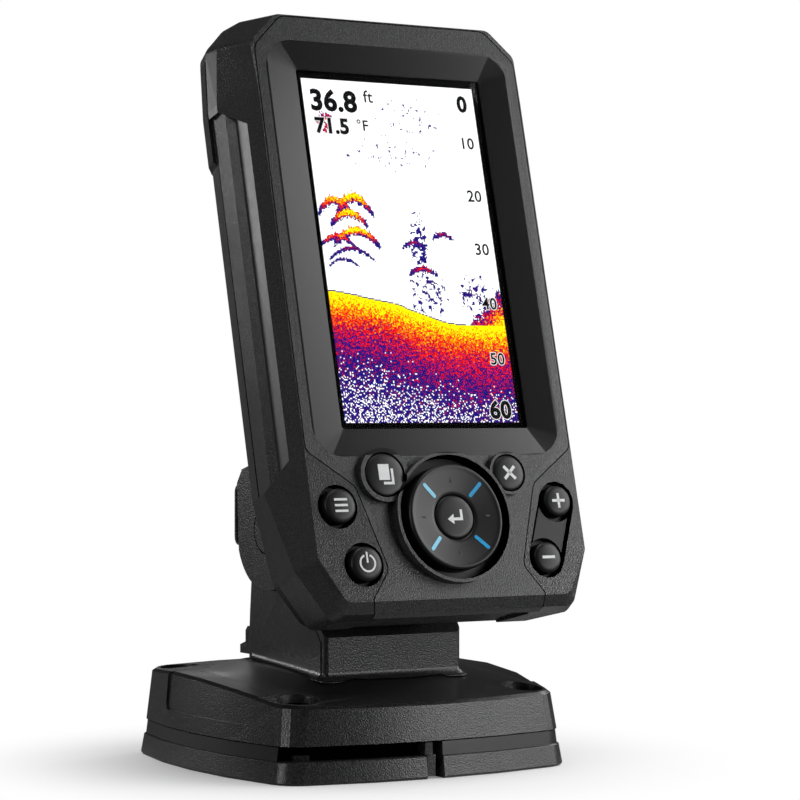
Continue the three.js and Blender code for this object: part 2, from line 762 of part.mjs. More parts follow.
place(display, "front_frame", frameSolid(), "shell");
place(display, "face_plate", faceSolid(), "plate");
place(display, "screen_lens", prism(lipOutline(lensOverlap), stackGap, stackGap + lensThickness), "glass");
place(display, "lcd_module", box(
  -screenWidth / 2 - lcdBezel, screenWidth / 2 + lcdBezel, -lcdBezel, screenHeight + lcdBezel, -lcdThickness, 0,
), "panel");

const ledgeUnder = faceHeight - plateThickness - stackGap - ledgeThickness;
const membraneTop = ledgeUnder - 0.2;
place(display, "keypad_membrane", prism(filleted(mirrored([
  [membraneHalfWidth - membraneCutWide, membraneBottom, 2],
  [membraneHalfWidth, membraneBottom + membraneCutTall, 2], [membraneHalfWidth, membraneShoulder, 0],
  [membraneNarrow, membraneShoulder, 0], [membraneNarrow, membraneUpper, 2],
]), 2), membraneTop - membraneThickness, membraneTop), "rubber");

const boardHoles = boardBossPlaces().map((at) => cylinder(screwShankRadius + 0.2, -30, 0, 12, at));
const board = prism(
  rectangle(-boardHalfWidth, boardBottom, boardHalfWidth, boardTop, 2), -boardDepth - boardThickness, -boardDepth,
);
// Each chip's middle, half width, half length and height.
const chips = [[0, 51, 12, 11, 1.6], [-21, 17, 5, 7, 1.2], [18, 75, 8, 5, 2.2]].map(
  ([u, v, halfWide, halfLong, tall]) => box(
    u - halfWide, u + halfWide, v - halfLong, v + halfLong, -boardDepth - stackGap, -boardDepth + tall,
  ),
);
place(display, "main_board", cut(join(board, ...chips), ...boardHoles), "board");
boardBossPlaces().forEach(([u, v], i) => {
  const screw = screwSolid(screwHeadRadius, screwHeadHeight, screwShankRadius - 0.15, screwLength);
  const mesh = place(display, "board_screw_" + (i + 1), screw, "steel");
  mesh.rotation.x = Math.PI;
  mesh.position.set(u, v, -boardDepth + 0.05);
});

const gasketOuter = grown(partingCorners, -gasketInset);
const gasketTop = -partingDepth - stackGap;
place(display, "housing_gasket", cut(
  prism(filleted(gasketOuter), gasketTop - gasketThickness, gasketTop),
  prism(filleted(grown(gasketOuter, -gasketWidth)), gasketTop - gasketThickness - 1, gasketTop + 1),
), "rubber");
place(display, "rear_case", rearCaseSolid(), "shell");
caseScrewPlaces().forEach(([u, v], i) => {
  const length = caseDepth - caseScrewSeat - partingDepth + caseScrewBite;
  const screw = screwSolid(screwHeadRadius, screwHeadHeight, screwShankRadius, length);
  const mesh = place(display, "case_screw_" + (i + 1), screw, "steel");
  mesh.position.set(u, v, -caseDepth + caseScrewSeat - 0.1);
});

[["power_socket", -1], ["transducer_socket", 1]].forEach(([name, side]) => {
  const neckRadius = socketRadius - 1.2;
  const body = cut(
    lathe([
      [0, -caseWall - 2.5], [neckRadius, -caseWall - 2.5], [neckRadius, 0.1], [socketRadius, 0.1],
      [socketRadius, socketProud - 0.8], [socketRadius - 0.8, socketProud], [0, socketProud],
    ]),
    cylinder(socketBore, 1.0, socketProud + 1, fine),
  );
  const mesh = place(display, name, body, "rubber");
  mesh.rotation.x = Math.PI;
  mesh.position.set(side * socketU, socketV, -caseDepth);
});

// Keys

function keySolid(radius, flange, top) {
  return lathe([
    [0, -keyShankDepth], [flange, -keyShankDepth], [flange, -keyShankDepth + 1.4], [radius, -keyShankDepth + 1.4],
    [radius, top - keyCrown - 0.3], [radius - 0.35, top - keyCrown], [0, top],
  ]);
}

[
  ["menu_button", menuKey, smallKeyRadius, smallKeyHole - sideGap, keyHeight],
  ["power_button", powerKey, smallKeyRadius, smallKeyHole - sideGap, keyHeight],
  ["pages_button", pagesKey, pagesKeyRadius, pagesKeyRadius + 0.05, keyHeight],
  ["exit_button", exitKey, exitKeyRadius, exitKeyRadius + 0.05, keyHeight],
  ["zoom_in_button", zoomInKey, zoomKeyRadius, zoomSlotRadius - sideGap, zoomKeyHeight],
  ["zoom_out_button", zoomOutKey, zoomKeyRadius, zoomSlotRadius - sideGap, zoomKeyHeight],
].forEach(([name, at, radius, flange, top]) => {
  place(display, name, keySolid(radius, flange, top), "key").position.set(at[0], at[1], 0);
});

place(display, "zoom_slot_insert", cut(
  zoomSlot(zoomSlotRadius - 0.9, ledgeUnder, insertHeight),
  cylinder(zoomSlotRadius, -20, 20, fine, zoomInKey),
  cylinder(zoomSlotRadius, -20, 20, fine, zoomOutKey),
), "plate");

place(display, "direction_pad", cut(
  lathe([
    [0, padBottom], [padSkirtRadius, padBottom], [padSkirtRadius, padSkirtTop], [padRadius, padSkirtTop],
    [padRadius, padHeight - 0.5], [padRadius - 0.5, padHeight], [padRadius - 1.3, padHeight - 0.1],
    [enterRadius + enterGap, padHeight - padDish], [0, padHeight - padDish],
  ], padSides),
  cylinder(enterRadius + enterGap, -20, 20, fine),
), "key").position.set(padCentre[0], padCentre[1], 0);
place(display, "pad_carrier", cut(
  cylinder(carrierOuter, carrierBottom, carrierTop, coarse),
  cylinder(carrierInner, carrierBottom - 1, carrierTop + 1, coarse),
), "rubber").position.set(padCentre[0], padCentre[1], 0);
place(display, "enter_button", lathe([
  [0, -keyShankDepth], [enterRadius, -keyShankDepth], [enterRadius, enterHeight - 0.5], [enterRadius - 0.4, enterHeight - 0.2],
  [enterRadius * 0.6, enterHeight], [0, enterHeight],
]), "key").position.set(padCentre[0], padCentre[1], 0);

// Tilting head, about the pivot

const headFront = screenAheadOfPivot - caseDepth - stackGap;
const cheekOuter = cheekInner + cheekThickness;

function cheekOutline() {
  const points = [[headPlateBottom, headFront]];
  const from = Math.PI;
  const to = Math.PI * 1.46;
  for (let k = 0; k <= 12; k += 1) {
    const angle = from + ((to - from) * k) / 12;
    points.push([cheekRadius * Math.cos(angle), cheekRadius * Math.sin(angle)]);
  }
  points.push([headPlateTop - 3.0, -cheekRadius + 3.7], [headPlateTop - 0.3, -9.5], [headPlateTop, headFront]);
  return points.map(([v, w]) => new THREE.Vector2(v, w));
}

// The parts of the head behind the pivot keep the direction of the base at rest.
function atRest(solid) {
  const matrix = new THREE.Matrix4().makeRotationX(-tilt.rotation.x);
  return solidOf(geometryOf(solid).applyMatrix4(matrix));
}

function headSolid() {
  const outline = cheekOutline();
  const cheeks = [[cheekInner, cheekOuter], [-cheekOuter, -cheekInner]].map(([a, b]) => sidePrism(outline, a, b));
  const plate = box(-cheekOuter, cheekOuter, headPlateBottom, headPlateTop, headFront - headPlateThickness, headFront);
  const block = atRest(box(
    -releaseHalfWidth, releaseHalfWidth,
    cheekRadius - webThickness, releaseRear - releaseWall - releaseGap,
    releaseBottom + releaseWall + releaseSideGap, releaseTop - releaseWall - releaseSideGap,
  ));
  const bead = atRest(sidePrism(
    circle(releaseBead, 8, [releaseBeadY, releaseTop - releaseWall - releaseSideGap]), -releaseHalfWidth, releaseHalfWidth,
  ));
  const clear = sidePrism(circle(cheekRadius - webThickness, fine), -cheekInner, cheekInner);
  const roof = box(-cheekOuter, cheekOuter, headPlateTop - webThickness, headPlateTop, -9.5, headFront);
  const bore = sidePrism(circle(pinRadius + 0.1, coarse), -cheekOuter - 1, cheekOuter + 1);
  const capSeats = [-1, 1].map((side) => sidePrism(
    circle(pinCapRadius + 0.15, fine),
    side > 0 ? cheekOuter - pinCapThickness : -cheekOuter - 1,
    side > 0 ? cheekOuter + 1 : -cheekOuter + pinCapThickness,
  ));
  return cut(join(...cheeks, plate, roof, cut(block, clear), bead), bore, ...capSeats);
}

place(tilt, "tilt_head", headSolid(), "shell");
place(tilt, "tilt_pin", sidePrism(
  circle(pinRadius, coarse), -cheekOuter + pinCapThickness + stackGap, cheekOuter - pinCapThickness - stackGap,
), "steel");
[["pin_cap_left", -1], ["pin_cap_right", 1]].forEach(([name, side]) => {
  const inner = cheekOuter - pinCapThickness + 0.05;
  const ends = side > 0 ? [inner, cheekOuter] : [-cheekOuter, -inner];
  place(tilt, name, sidePrism(circle(pinCapRadius, fine), ...ends), "shell");
});

function releaseSolid() {
  const reach = releaseRear - releaseFront;
  const outer = sidePrism(filleted([
    [releaseFront, releaseBottom, 0], [releaseRear, releaseBottom, 2.4],
    [releaseRear, releaseTop, 2.4], [releaseFront, releaseTop, 0],
  ]), -releaseHalfWidth, releaseHalfWidth);
  const inner = sidePrism(filleted([
    [releaseFront - reach, releaseBottom + releaseWall, 0], [releaseRear - releaseWall, releaseBottom + releaseWall, 1.4],
    [releaseRear - releaseWall, releaseTop - releaseWall, 1.4], [releaseFront - reach, releaseTop - releaseWall, 0],
  ]), -releaseHalfWidth - 1, releaseHalfWidth + 1);
  return atRest(cut(outer, inner));
}

place(tilt, "release_button", releaseSolid(), "shell");

// Base plate, deck and neck

// A square outline with bulging sides and round corners; its height can depend on the place.
function bowed(inset, height) {
  const half = baseHalf - inset;
  const span = half - baseCorner;
  const lean = Math.atan((2 * baseBow) / span);
  const radius = baseCorner / (Math.cos(lean) - Math.sin(lean));
  const centre = half - radius * Math.cos(lean);
  const side = [];
  for (let k = 0; k <= bowSteps; k += 1) {
    const s = -1 + (2 * k) / bowSteps;
    side.push([half + baseBow * (1 - s * s), s * span]);
  }
  for (let k = 1; k < arcSteps; k += 1) {
    const angle = lean + ((Math.PI / 2 - 2 * lean) * k) / arcSteps;
    side.push([centre + radius * Math.cos(angle), centre + radius * Math.sin(angle)]);
  }
  const points = [];
  for (let quarter = 0; quarter < 4; quarter += 1) {
    const cos = Math.round(Math.cos((quarter * Math.PI) / 2));
    const sin = Math.round(Math.sin((quarter * Math.PI) / 2));
    side.forEach(([x, y]) => {
      const px = x * cos - y * sin;
      const py = x * sin + y * cos;
      points.push(new THREE.Vector3(px, py, typeof height === "function" ? height(py) : height));
    });
  }
  return points;
}

const drafted = (height) => baseDraft * height;
const deckLevel = (y) => deckEdge + deckRise * (y - deckFrontY)
  + deckArch * Math.max(0, 1 - (y / deckArchHalf) ** 2);
const deckBottom = bandTop + deckGap;
const boltPlaces = [[-1, -1], [1, -1], [1, 1], [-1, 1]].map(([x, y]) => [x * holeX, y * holeY]);

// The deck as a solid, inset from its outer surface.
function deckSolid(inset, drop, low) {
  const edge = drafted(deckEdge);
  return loft([
    bowed(drafted(low) + inset, low),
    bowed(edge + inset, (y) => deckLevel(y) - drop - deckEdgeRound),
    bowed(edge + inset + deckEdgeRound, (y) => deckLevel(y) - drop),
    bowed(edge + deckDomeFoot, (y) => deckLevel(y) - drop + deckDome * 0.3),
    bowed(edge + deckDomeTop, (y) => deckLevel(y) - drop + deckDome),
  ]);
}

function basePlateSolid() {
  const lower = loft([
    bowed(0.4, 0), bowed(0, 0.6), bowed(drafted(plateTop), plateTop - 0.3), bowed(drafted(plateTop) + 0.3, plateTop),
  ]);
  const band = loft([bowed(drafted(plateTop) + bandInset, plateTop - 1), bowed(drafted(bandTop) + bandInset, bandTop)]);
  const pocket = loft([bowed(baseWall, baseFloor), bowed(baseWall, bandTop + 2)]);
  const front = -baseHalf - baseBow - 5;
  const bandOpening = box(-baseHalf - baseBow, slotLeft + 0.1, front, -baseHalf + baseWall + 3, plateTop, bandTop + 1);
  const recess = cut(
    loft([bowed(recessDepth, baseFloor - 1), bowed(recessDepth, bandTop)]),
    loft([bowed(recessDepth + recessWall, baseFloor - 2), bowed(recessDepth + recessWall, bandTop + 1)]),
  ).intersect(box(-baseHalf - baseBow, slotLeft - fitGap, front, recessEnd, baseFloor - 1, bandTop));
  const slot = box(slotLeft, slotRight, front, -baseHalf + baseWall + 3, -1, bandTop + 1);
  const boss = cylinder(bossOuter, 0, webLow - stackGap, fine);
  const posts = boltPlaces.map((at) => cylinder(postRadius, 1, baseFloor + postHeight, coarse, at));
  const bores = boltPlaces.flatMap((at) => [
    cylinder(postBore, -1, bandTop, coarse, at),
    cylinder(postRadius - 1.4, baseFloor + postHeight - 1.6, bandTop, coarse, at),
  ]);
  const pivotPost = cylinder(leverPivotRadius, 1, leverHigh + 0.8, coarse, [leverX, leverPivotY]);
  return cut(
    join(cut(join(lower, band), pocket, bandOpening, slot), recess, boss, pivotPost, ...posts),
    cylinder(hubRadius + hubGap, -1, webLow + 1, fine),
    cylinder(retainerRadius + hubGap, -1, retainerCeiling, fine),
    ...bores,
  );
}

// Side outline of the neck, as [y, z].
function neckProfile() {
  const points = [[neckFront, webHigh], [neckRearLow, webHigh], [neckRearLow, neckRearBend]];
  points.push([neckRearHigh, neckShoulder], [knuckleRadius + 0.6, neckShoulder + 1.6]);
  for (let k = 0; k <= 14; k += 1) {
    const angle = -0.6 + ((Math.PI + 0.6) * k) / 14;
    points.push([knuckleRadius * Math.cos(angle), pivotHeight + knuckleRadius * Math.sin(angle)]);
  }
  points.push([neckSlopeY, neckSlopeTop], [neckFront, neckFrontTop]);
  return points.map(([y, z]) => new THREE.Vector2(y, z));
}

// The slice of the neck that its front cover takes up, thicker by a seam where it cuts the housing.
function coverSlice(seam) {
  const depth = coverThickness + seam;
  const points = [
    [neckFront - 5, 10], [neckFront + depth, 10], [neckFront + depth, neckFrontTop - 1.4],
    [neckSlopeY + depth * 0.95, neckSlopeTop - 1.2], [coverTopY + seam, coverTop + seam],
    [neckFront + 5, coverTop + seam + 2], [neckFront - 5, coverTop + seam + 2],
  ];
  const reach = neckHalfWidth + 2 * neckFootRadius;
  return sidePrism(points.map(([y, z]) => new THREE.Vector2(y, z)), -reach, reach);
}

// The concave foot round the neck's front and sides, in rings that follow the deck.
function neckFoot() {
  const arc = [[1, -0.5], ...Array.from({ length: 5 }, (_, k) => {
    const turn = (Math.PI / 2) * (k / 4);
    return [1 - Math.sin(turn), 1 - Math.cos(turn)];
  })];
  return loft(arc.map(([out, up]) => {
    const spread = out * neckFootRadius;
    const half = neckHalfWidth + spread;
    return ringAt(
      rectangle(-half, neckFront - spread, half, neckRearLow - neckRadius, neckRadius + spread),
      (y) => deckLevel(y) + deckDome + up * neckFootRadius,
    );
  }));
}

function neckOuter() {
  const column = prism(
    rectangle(-neckHalfWidth, neckFront, neckHalfWidth, neckRearLow, neckRadius), webHigh, pivotHeight + cheekRadius,
  );
  return sidePrism(neckProfile(), -neckHalfWidth, neckHalfWidth).intersect(column).add(neckFoot());
}

const latchPlace = [latchPinY, latchPinHeight];

function housingSolid() {
  const shell = cut(deckSolid(0, 0, deckBottom), deckSolid(deckWall, deckWall, deckBottom - 1));
  const inner = neckHalfWidth - neckWall;
  const behindCover = neckFront + coverThickness;
  const hollow = sidePrism([
    [behindCover, webHigh + 2], [neckRearLow - neckWall, webHigh + 2],
    [neckRearHigh - neckWall, neckHollowTop - 4], [neckRearHigh - neckWall - 4, neckHollowTop],
    [behindCover + 5.4, neckHollowTop], [behindCover + 5.2, neckSlopeTop], [behindCover, neckFrontTop - 1],
  ].map(([y, z]) => new THREE.Vector2(y, z)), -inner, inner);
  const hub = join(
    cylinder(hubRadius, retainerTop + stackGap, deckEdge + 3, fine),
    cylinder(bossOuter, webLow, webHigh, fine),
  );
  const holes = boltPlaces.map((at) => cylinder(holeRadius, deckBottom - 1, deckEdge + 20, fine, at));
  const column = cut(neckOuter(), coverSlice(coverSeam));
  const body = join(cut(join(shell, column), hollow), hub);
  const skin = deckSolid(panelDepth, 0, deckBottom - 2);
  const panelShape = filleted([
    [panelY - panelHalf, panelLow, 2.5], [panelY + panelHalf, panelLow, 2.5],
    [panelY + panelHalf, deckEdge + 10, 0], [panelY - panelHalf, deckEdge + 10, 0],
  ]);
  const panels = [-1, 1].map((side) => cut(
    sidePrism(panelShape, side > 0 ? baseHalf - recessDepth : -baseHalf - panelReach,
      side > 0 ? baseHalf + panelReach : -baseHalf + recessDepth),
    skin,
  ));
  const latchWindow = box(
    -latchHalfWidth - fitGap, latchHalfWidth + fitGap,
    neckRearHigh - neckWall - 2, neckRearLow + latchLipRear, latchLow - latchWindowGap + latchRootLow, latchHigh + latchWindowGap,
  );
  const latchBore = sidePrism(
    circle(latchPinRadius + 0.05, 12, latchPlace), -latchHalfWidth - latchPinSink - 0.1, latchHalfWidth + latchPinSink + 0.1,
  );
  const retainerBores = retainerScrewPlaces().map((at) => cylinder(screwShankRadius, 0, retainerTop + screwLength, 12, at));
  return cut(
    body, latchWindow, latchBore, cylinder(hubBore, 0, deckEdge + 4, fine), ...holes, ...panels,
    sidePrism(circle(pinRadius + pinBoreGap, fine, [0, pivotHeight]), -neckHalfWidth - 1, neckHalfWidth + 1), ...retainerBores,
  );
}

function retainerScrewPlaces() {
  return Array.from({ length: 3 }, (_, i) => {
    const angle = Math.PI / 2 + (2 * Math.PI * i) / 3;
    return [retainerScrewCircle * Math.cos(angle), retainerScrewCircle * Math.sin(angle)];
  });
}

place(fishFinder, "base_plate", basePlateSolid(), "shell");

const tabFront = -baseHalf - baseBow + 1.0;
place(fishFinder, "swivel_lock_lever", cut(join(
  box(tabLeft, tabRight, tabFront, tabFront + 3.6, 0.7, leverHigh + 0.2),
  box(tabLeft, tabRight - 0.3, tabFront + 1.0, tabFront + 3.6, leverHigh - 1, bandTop - 0.1),
  box(tabLeft, tabRight, tabFront + 3, leverPivotY, leverLow, leverHigh),
  cylinder(leverWidth * 0.8, leverLow, leverHigh, coarse, [leverX, leverPivotY]),
), cylinder(leverPivotRadius + leverGap, 0, bandTop, coarse, [leverX, leverPivotY])), "shell");

place(swivel, "swivel_housing", housingSolid(), "shell");
place(swivel, "neck_cover", neckOuter().intersect(coverSlice(0)).intersect(
  deckAbove(),
), "shell");

// Everything above the deck's skin, where the neck's cover ends.
function deckAbove() {
  const reach = baseHalf + baseBow;
  const space = box(-reach, reach, -reach, reach, webHigh, pivotHeight + cheekRadius);
  return cut(space, deckSolid(-fitGap, -fitGap, deckBottom));
}

const latchRoot = [
  [-latchFront, latchLow + latchRootLow], [latchPlateFront, latchLow + latchRootLow],
  [latchPlateFront, latchHigh], [-latchFront, latchHigh],
];
const latchPlate = [
  [latchPlateFront - 0.2, latchLow], [latchLipRear, latchLow], [latchLipRear, latchLow + latchLipHigh],
  [latchPlateRear, latchLow + latchLipHigh + latchLipChamfer], [latchPlateRear, latchHigh - latchTopChamfer],
  [latchPlateRear - latchTopChamfer, latchHigh], [latchPlateFront - 0.2, latchHigh],
];
const latchPrism = (points, half) => sidePrism(
  points.map(([y, z]) => new THREE.Vector2(latchPinY + y, z)), -half, half,
);
place(swivel, "neck_latch", cut(
  join(latchPrism(latchRoot, latchHalfWidth), latchPrism(latchPlate, latchWide)),
  sidePrism(circle(latchPinRadius + leverGap, 12, latchPlace), -latchHalfWidth - 1, latchHalfWidth + 1),
), "shell");
place(swivel, "latch_pin", sidePrism(
  circle(latchPinRadius, 12, latchPlace), -latchHalfWidth - latchPinSink, latchHalfWidth + latchPinSink,
), "steel");

place(swivel, "swivel_retainer", cut(
  cylinder(retainerRadius, retainerTop - retainerThickness, retainerTop, fine),
  ...retainerScrewPlaces().map((at) => cylinder(screwShankRadius + 0.2, 0, retainerTop + 1, 12, at)),
), "steel");
retainerScrewPlaces().forEach(([x, y], i) => {
  const screw = screwSolid(screwHeadRadius, retainerHeadHeight, screwShankRadius - 0.15, screwLength);
  const mesh = place(swivel, "retainer_screw_" + (i + 1), screw, "steel");
  mesh.position.set(x, y, retainerTop - retainerThickness - 0.02);
});

export default fishFinder;
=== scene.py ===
import json
import math
import bmesh
import bpy
from mathutils import Matrix, Vector

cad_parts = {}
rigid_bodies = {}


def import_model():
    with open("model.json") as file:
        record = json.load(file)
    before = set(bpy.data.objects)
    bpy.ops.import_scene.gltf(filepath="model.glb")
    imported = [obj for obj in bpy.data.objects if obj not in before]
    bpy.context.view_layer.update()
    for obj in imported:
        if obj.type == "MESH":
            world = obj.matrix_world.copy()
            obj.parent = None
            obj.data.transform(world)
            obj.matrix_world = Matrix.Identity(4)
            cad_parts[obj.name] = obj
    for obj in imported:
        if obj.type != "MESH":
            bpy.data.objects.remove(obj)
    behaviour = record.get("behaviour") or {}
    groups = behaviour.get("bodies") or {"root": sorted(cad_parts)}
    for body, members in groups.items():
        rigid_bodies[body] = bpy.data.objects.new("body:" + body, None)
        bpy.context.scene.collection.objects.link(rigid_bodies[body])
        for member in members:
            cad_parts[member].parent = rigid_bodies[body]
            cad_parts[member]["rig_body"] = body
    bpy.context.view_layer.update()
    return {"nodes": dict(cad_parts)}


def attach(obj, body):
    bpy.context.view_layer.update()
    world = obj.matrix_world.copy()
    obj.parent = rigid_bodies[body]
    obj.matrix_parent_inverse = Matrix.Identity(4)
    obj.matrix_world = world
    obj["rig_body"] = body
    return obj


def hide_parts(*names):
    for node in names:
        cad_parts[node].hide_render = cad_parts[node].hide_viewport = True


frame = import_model()
scene = bpy.context.scene
mm = 0.001
print("frame loaded:", len(frame["nodes"]), "nodes")

# Camera at the photograph's angle
cameraView = {
    "place": (-394.46, -684.73, 98.05),  # mm
    "azimuth": -30.986,
    "elevation": -0.11,
    "lens": 127.9,
    "sensor": 36.0,
}


# Direction at an azimuth from the front, positive to the right, and an elevation
def heading(azimuth, elevation):
    turn, lift = math.radians(azimuth), math.radians(elevation)
    return Vector((math.sin(turn) * math.cos(lift), -math.cos(turn) * math.cos(lift), math.sin(lift)))


def addCamera(view):
    data = bpy.data.cameras.new("camera")
    data.lens = view["lens"]
    data.sensor_width = view["sensor"]
    data.clip_start = 0.01
    data.clip_end = 50
    camera = bpy.data.objects.new("camera", data)
    turn = math.radians(view["azimuth"])
    back = heading(view["azimuth"], view["elevation"])
    right = Vector((math.cos(turn), math.sin(turn), 0))
    up = back.cross(right)
    axes = Matrix((right, up, back)).transposed().to_4x4()
    camera.matrix_world = Matrix.Translation(Vector(view["place"]) * mm) @ axes
    scene.collection.objects.link(camera)
    scene.camera = camera


addCamera(cameraView)

# Screen plane: u to the right, v up the screen, w out of it, in mm from the lit area's lower edge
screenPlane = {"tilt": 14.58, "pivotHeight": 64.0, "above": 17.2, "ahead": 51.0}
lean = math.radians(screenPlane["tilt"])
screenRight = Vector((1, 0, 0))
screenUp = Vector((0, math.sin(lean), math.cos(lean)))
screenOut = Vector((0, -math.cos(lean), math.sin(lean)))
pivot = Vector((0, 0, screenPlane["pivotHeight"]))
screenOrigin = pivot + screenUp * screenPlane["above"] + screenOut * screenPlane["ahead"]


def onScreen(u, v, w):
    place = screenOrigin + screenRight * u + screenUp * v + screenOut * w
    axes = Matrix((screenRight, screenUp, screenOut)).transposed().to_4x4()
    return Matrix.Translation(place * mm) @ axes


# Shader tools
def newGroup(name, inputs, outputs):
    group = bpy.data.node_groups.new(name, "ShaderNodeTree")
    for label, kind, value in inputs:
        socket = group.interface.new_socket(name=label, in_out="INPUT", socket_type="NodeSocket" + kind)
        if value is not None:
            socket.default_value = value
    for label, kind in outputs:
        group.interface.new_socket(name=label, in_out="OUTPUT", socket_type="NodeSocket" + kind)
    return group, group.nodes.new("NodeGroupInput").outputs, group.nodes.new("NodeGroupOutput").inputs


def addNode(tree, kind, values=None, links=None, **settings):
    node = tree.nodes.new("ShaderNode" + kind)
    for key, value in settings.items():
        setattr(node, key, value)
    for key, value in (values or {}).items():
        node.inputs[key].default_value = value
    for key, socket in (links or {}).items():
        tree.links.new(socket, node.inputs[key])
    return node


def calc(tree, operation, *terms, clamp=False):
    node = tree.nodes.new("ShaderNodeMath")
    node.operation = operation
    node.use_clamp = clamp
    for i, term in enumerate(terms):
        if isinstance(term, (int, float)):
            node.inputs[i].default_value = term
        else:
            tree.links.new(term, node.inputs[i])
    return node.outputs[0]


def times(tree, *terms, clamp=False):
    return calc(tree, "MULTIPLY", *terms, clamp=clamp)


def plus(tree, *terms, clamp=False):
    return calc(tree, "ADD", *terms, clamp=clamp)


def minus(tree, *terms, clamp=False):
    return calc(tree, "SUBTRACT", *terms, clamp=clamp)


# value * factor + offset
def scaled(tree, value, factor, offset):
    return calc(tree, "MULTIPLY_ADD", value, factor, offset)


# Maps a value between two levels to between two others; each level is a number or a socket
def ranged(tree, value, low, high, toLow=0.0, toHigh=1.0, smooth=False):
    node = addNode(tree, "MapRange", {}, {"Value": value})
    node.interpolation_type = "SMOOTHSTEP" if smooth else "LINEAR"
    for label, level in (("From Min", low), ("From Max", high), ("To Min", toLow), ("To Max", toHigh)):
        if isinstance(level, (int, float)):
            node.inputs[label].default_value = level
        else:
            tree.links.new(level, node.inputs[label])
    return node.outputs["Result"]


def objectPlace(tree):
    return addNode(tree, "TexCoord").outputs["Object"]


def placeGroup(tree, group, values=None, links=None):
    node = tree.nodes.new("ShaderNodeGroup")
    node.node_tree = group
    for key, value in (values or {}).items():
        node.inputs[key].default_value = value
    for key, socket in (links or {}).items():
        tree.links.new(socket, node.inputs[key])
    return node.outputs


def mixColour(tree, factor, first, second, mode="MIX"):
    node = tree.nodes.new("ShaderNodeMix")
    node.data_type = "RGBA"
    node.blend_type = mode
    for socket, term in ((node.inputs[0], factor), (node.inputs[6], first), (node.inputs[7], second)):
        if isinstance(term, bpy.types.NodeSocket):
            tree.links.new(term, socket)
        else:
            socket.default_value = term
    return node.outputs[2]


def greyOf(tree, level):
    return addNode(tree, "CombineColor", {}, {"Red": level, "Green": level, "Blue": level}).outputs[0]


# Spark-eroded tool texture: a height, a speckle mask and wide clouds
def makeMouldGrain():
    group, given, result = newGroup(
        "mouldGrain",
        [("Scale", "Float", 2600.0), ("Softness", "Float", 0.5)],
        [("Height", "Float"), ("Speckle", "Float"), ("Clouds", "Float")],
    )
    place = objectPlace(group)
    links = {"Vector": place, "Scale": given["Scale"], "Roughness": given["Softness"]}
    fine = addNode(group, "TexNoise", {"Detail": 0.0}, links)
    group.links.new(fine.outputs["Fac"], result["Height"])
    group.links.new(ranged(group, fine.outputs["Fac"], 0.44, 0.68), result["Speckle"])
    clouds = addNode(group, "TexNoise", {"Scale": 34.0, "Detail": 4.0, "Roughness": 0.6}, {"Vector": place})
    group.links.new(clouds.outputs["Fac"], result["Clouds"])
    return group


# Polish on outer corners, broken up by noise
def makeEdgeWear():
    inputs = [("Start", "Float", 0.52), ("Full", "Float", 0.6), ("Scale", "Float", 420.0)]
    group, given, result = newGroup("edgeWear", inputs, [("Mask", "Float")])
    corner = addNode(group, "NewGeometry").outputs["Pointiness"]
    mask = ranged(group, corner, given["Start"], given["Full"])
    place = objectPlace(group)
    links = {"Vector": place, "Scale": given["Scale"]}
    rub = addNode(group, "TexNoise", {"Detail": 4.0, "Roughness": 0.7}, links).outputs["Fac"]
    group.links.new(times(group, mask, plus(group, rub, 0.25), clamp=True), result["Mask"])
    return group


# Thin dust on faces that look up
def makeFilmDust():
    inputs = [("Amount", "Float", 0.3), ("Scale", "Float", 160.0)]
    group, given, result = newGroup("filmDust", inputs, [("Mask", "Float")])
    normal = addNode(group, "NewGeometry").outputs["Normal"]
    facing = ranged(group, addNode(group, "SeparateXYZ", {}, {"Vector": normal}).outputs["Z"], 0.2, 1.0)
    place = objectPlace(group)
    links = {"Vector": place, "Scale": given["Scale"]}
    spots = addNode(group, "TexNoise", {"Detail": 6.0, "Roughness": 0.75}, links).outputs["Fac"]
    spots = calc(group, "POWER", spots, 2.0)
    group.links.new(times(group, times(group, facing, spots), given["Amount"]), result["Mask"])
    return group


# Fine turned or brushed lines along one axis
def makeBrushLines():
    group, given, result = newGroup(
        "brushLines", [("Scale", "Vector", (300.0, 300.0, 6000.0))], [("Height", "Float")]
    )
    place = objectPlace(group)
    stretched = addNode(group, "VectorMath", {}, {0: place, 1: given["Scale"]}, operation="MULTIPLY")
    lines = addNode(group, "TexNoise", {"Scale": 1.0, "Detail": 3.0}, {"Vector": stretched.outputs[0]})
    group.links.new(lines.outputs["Fac"], result["Height"])
    return group


# Places in screen directions, in mm
def makeScreenPlaces():
    group, given, result = newGroup("screenPlaces", [], [("U", "Float"), ("V", "Float"), ("W", "Float")])
    place = objectPlace(group)
    local = addNode(group, "VectorMath", {1: screenOrigin * mm}, {0: place}, operation="SUBTRACT").outputs[0]
    for label, axis in (("U", screenRight), ("V", screenUp), ("W", screenOut)):
        along = addNode(
            group, "VectorMath", {1: axis / mm}, {0: local}, operation="DOT_PRODUCT"
        ).outputs["Value"]
        group.links.new(along, result[label])
    return group


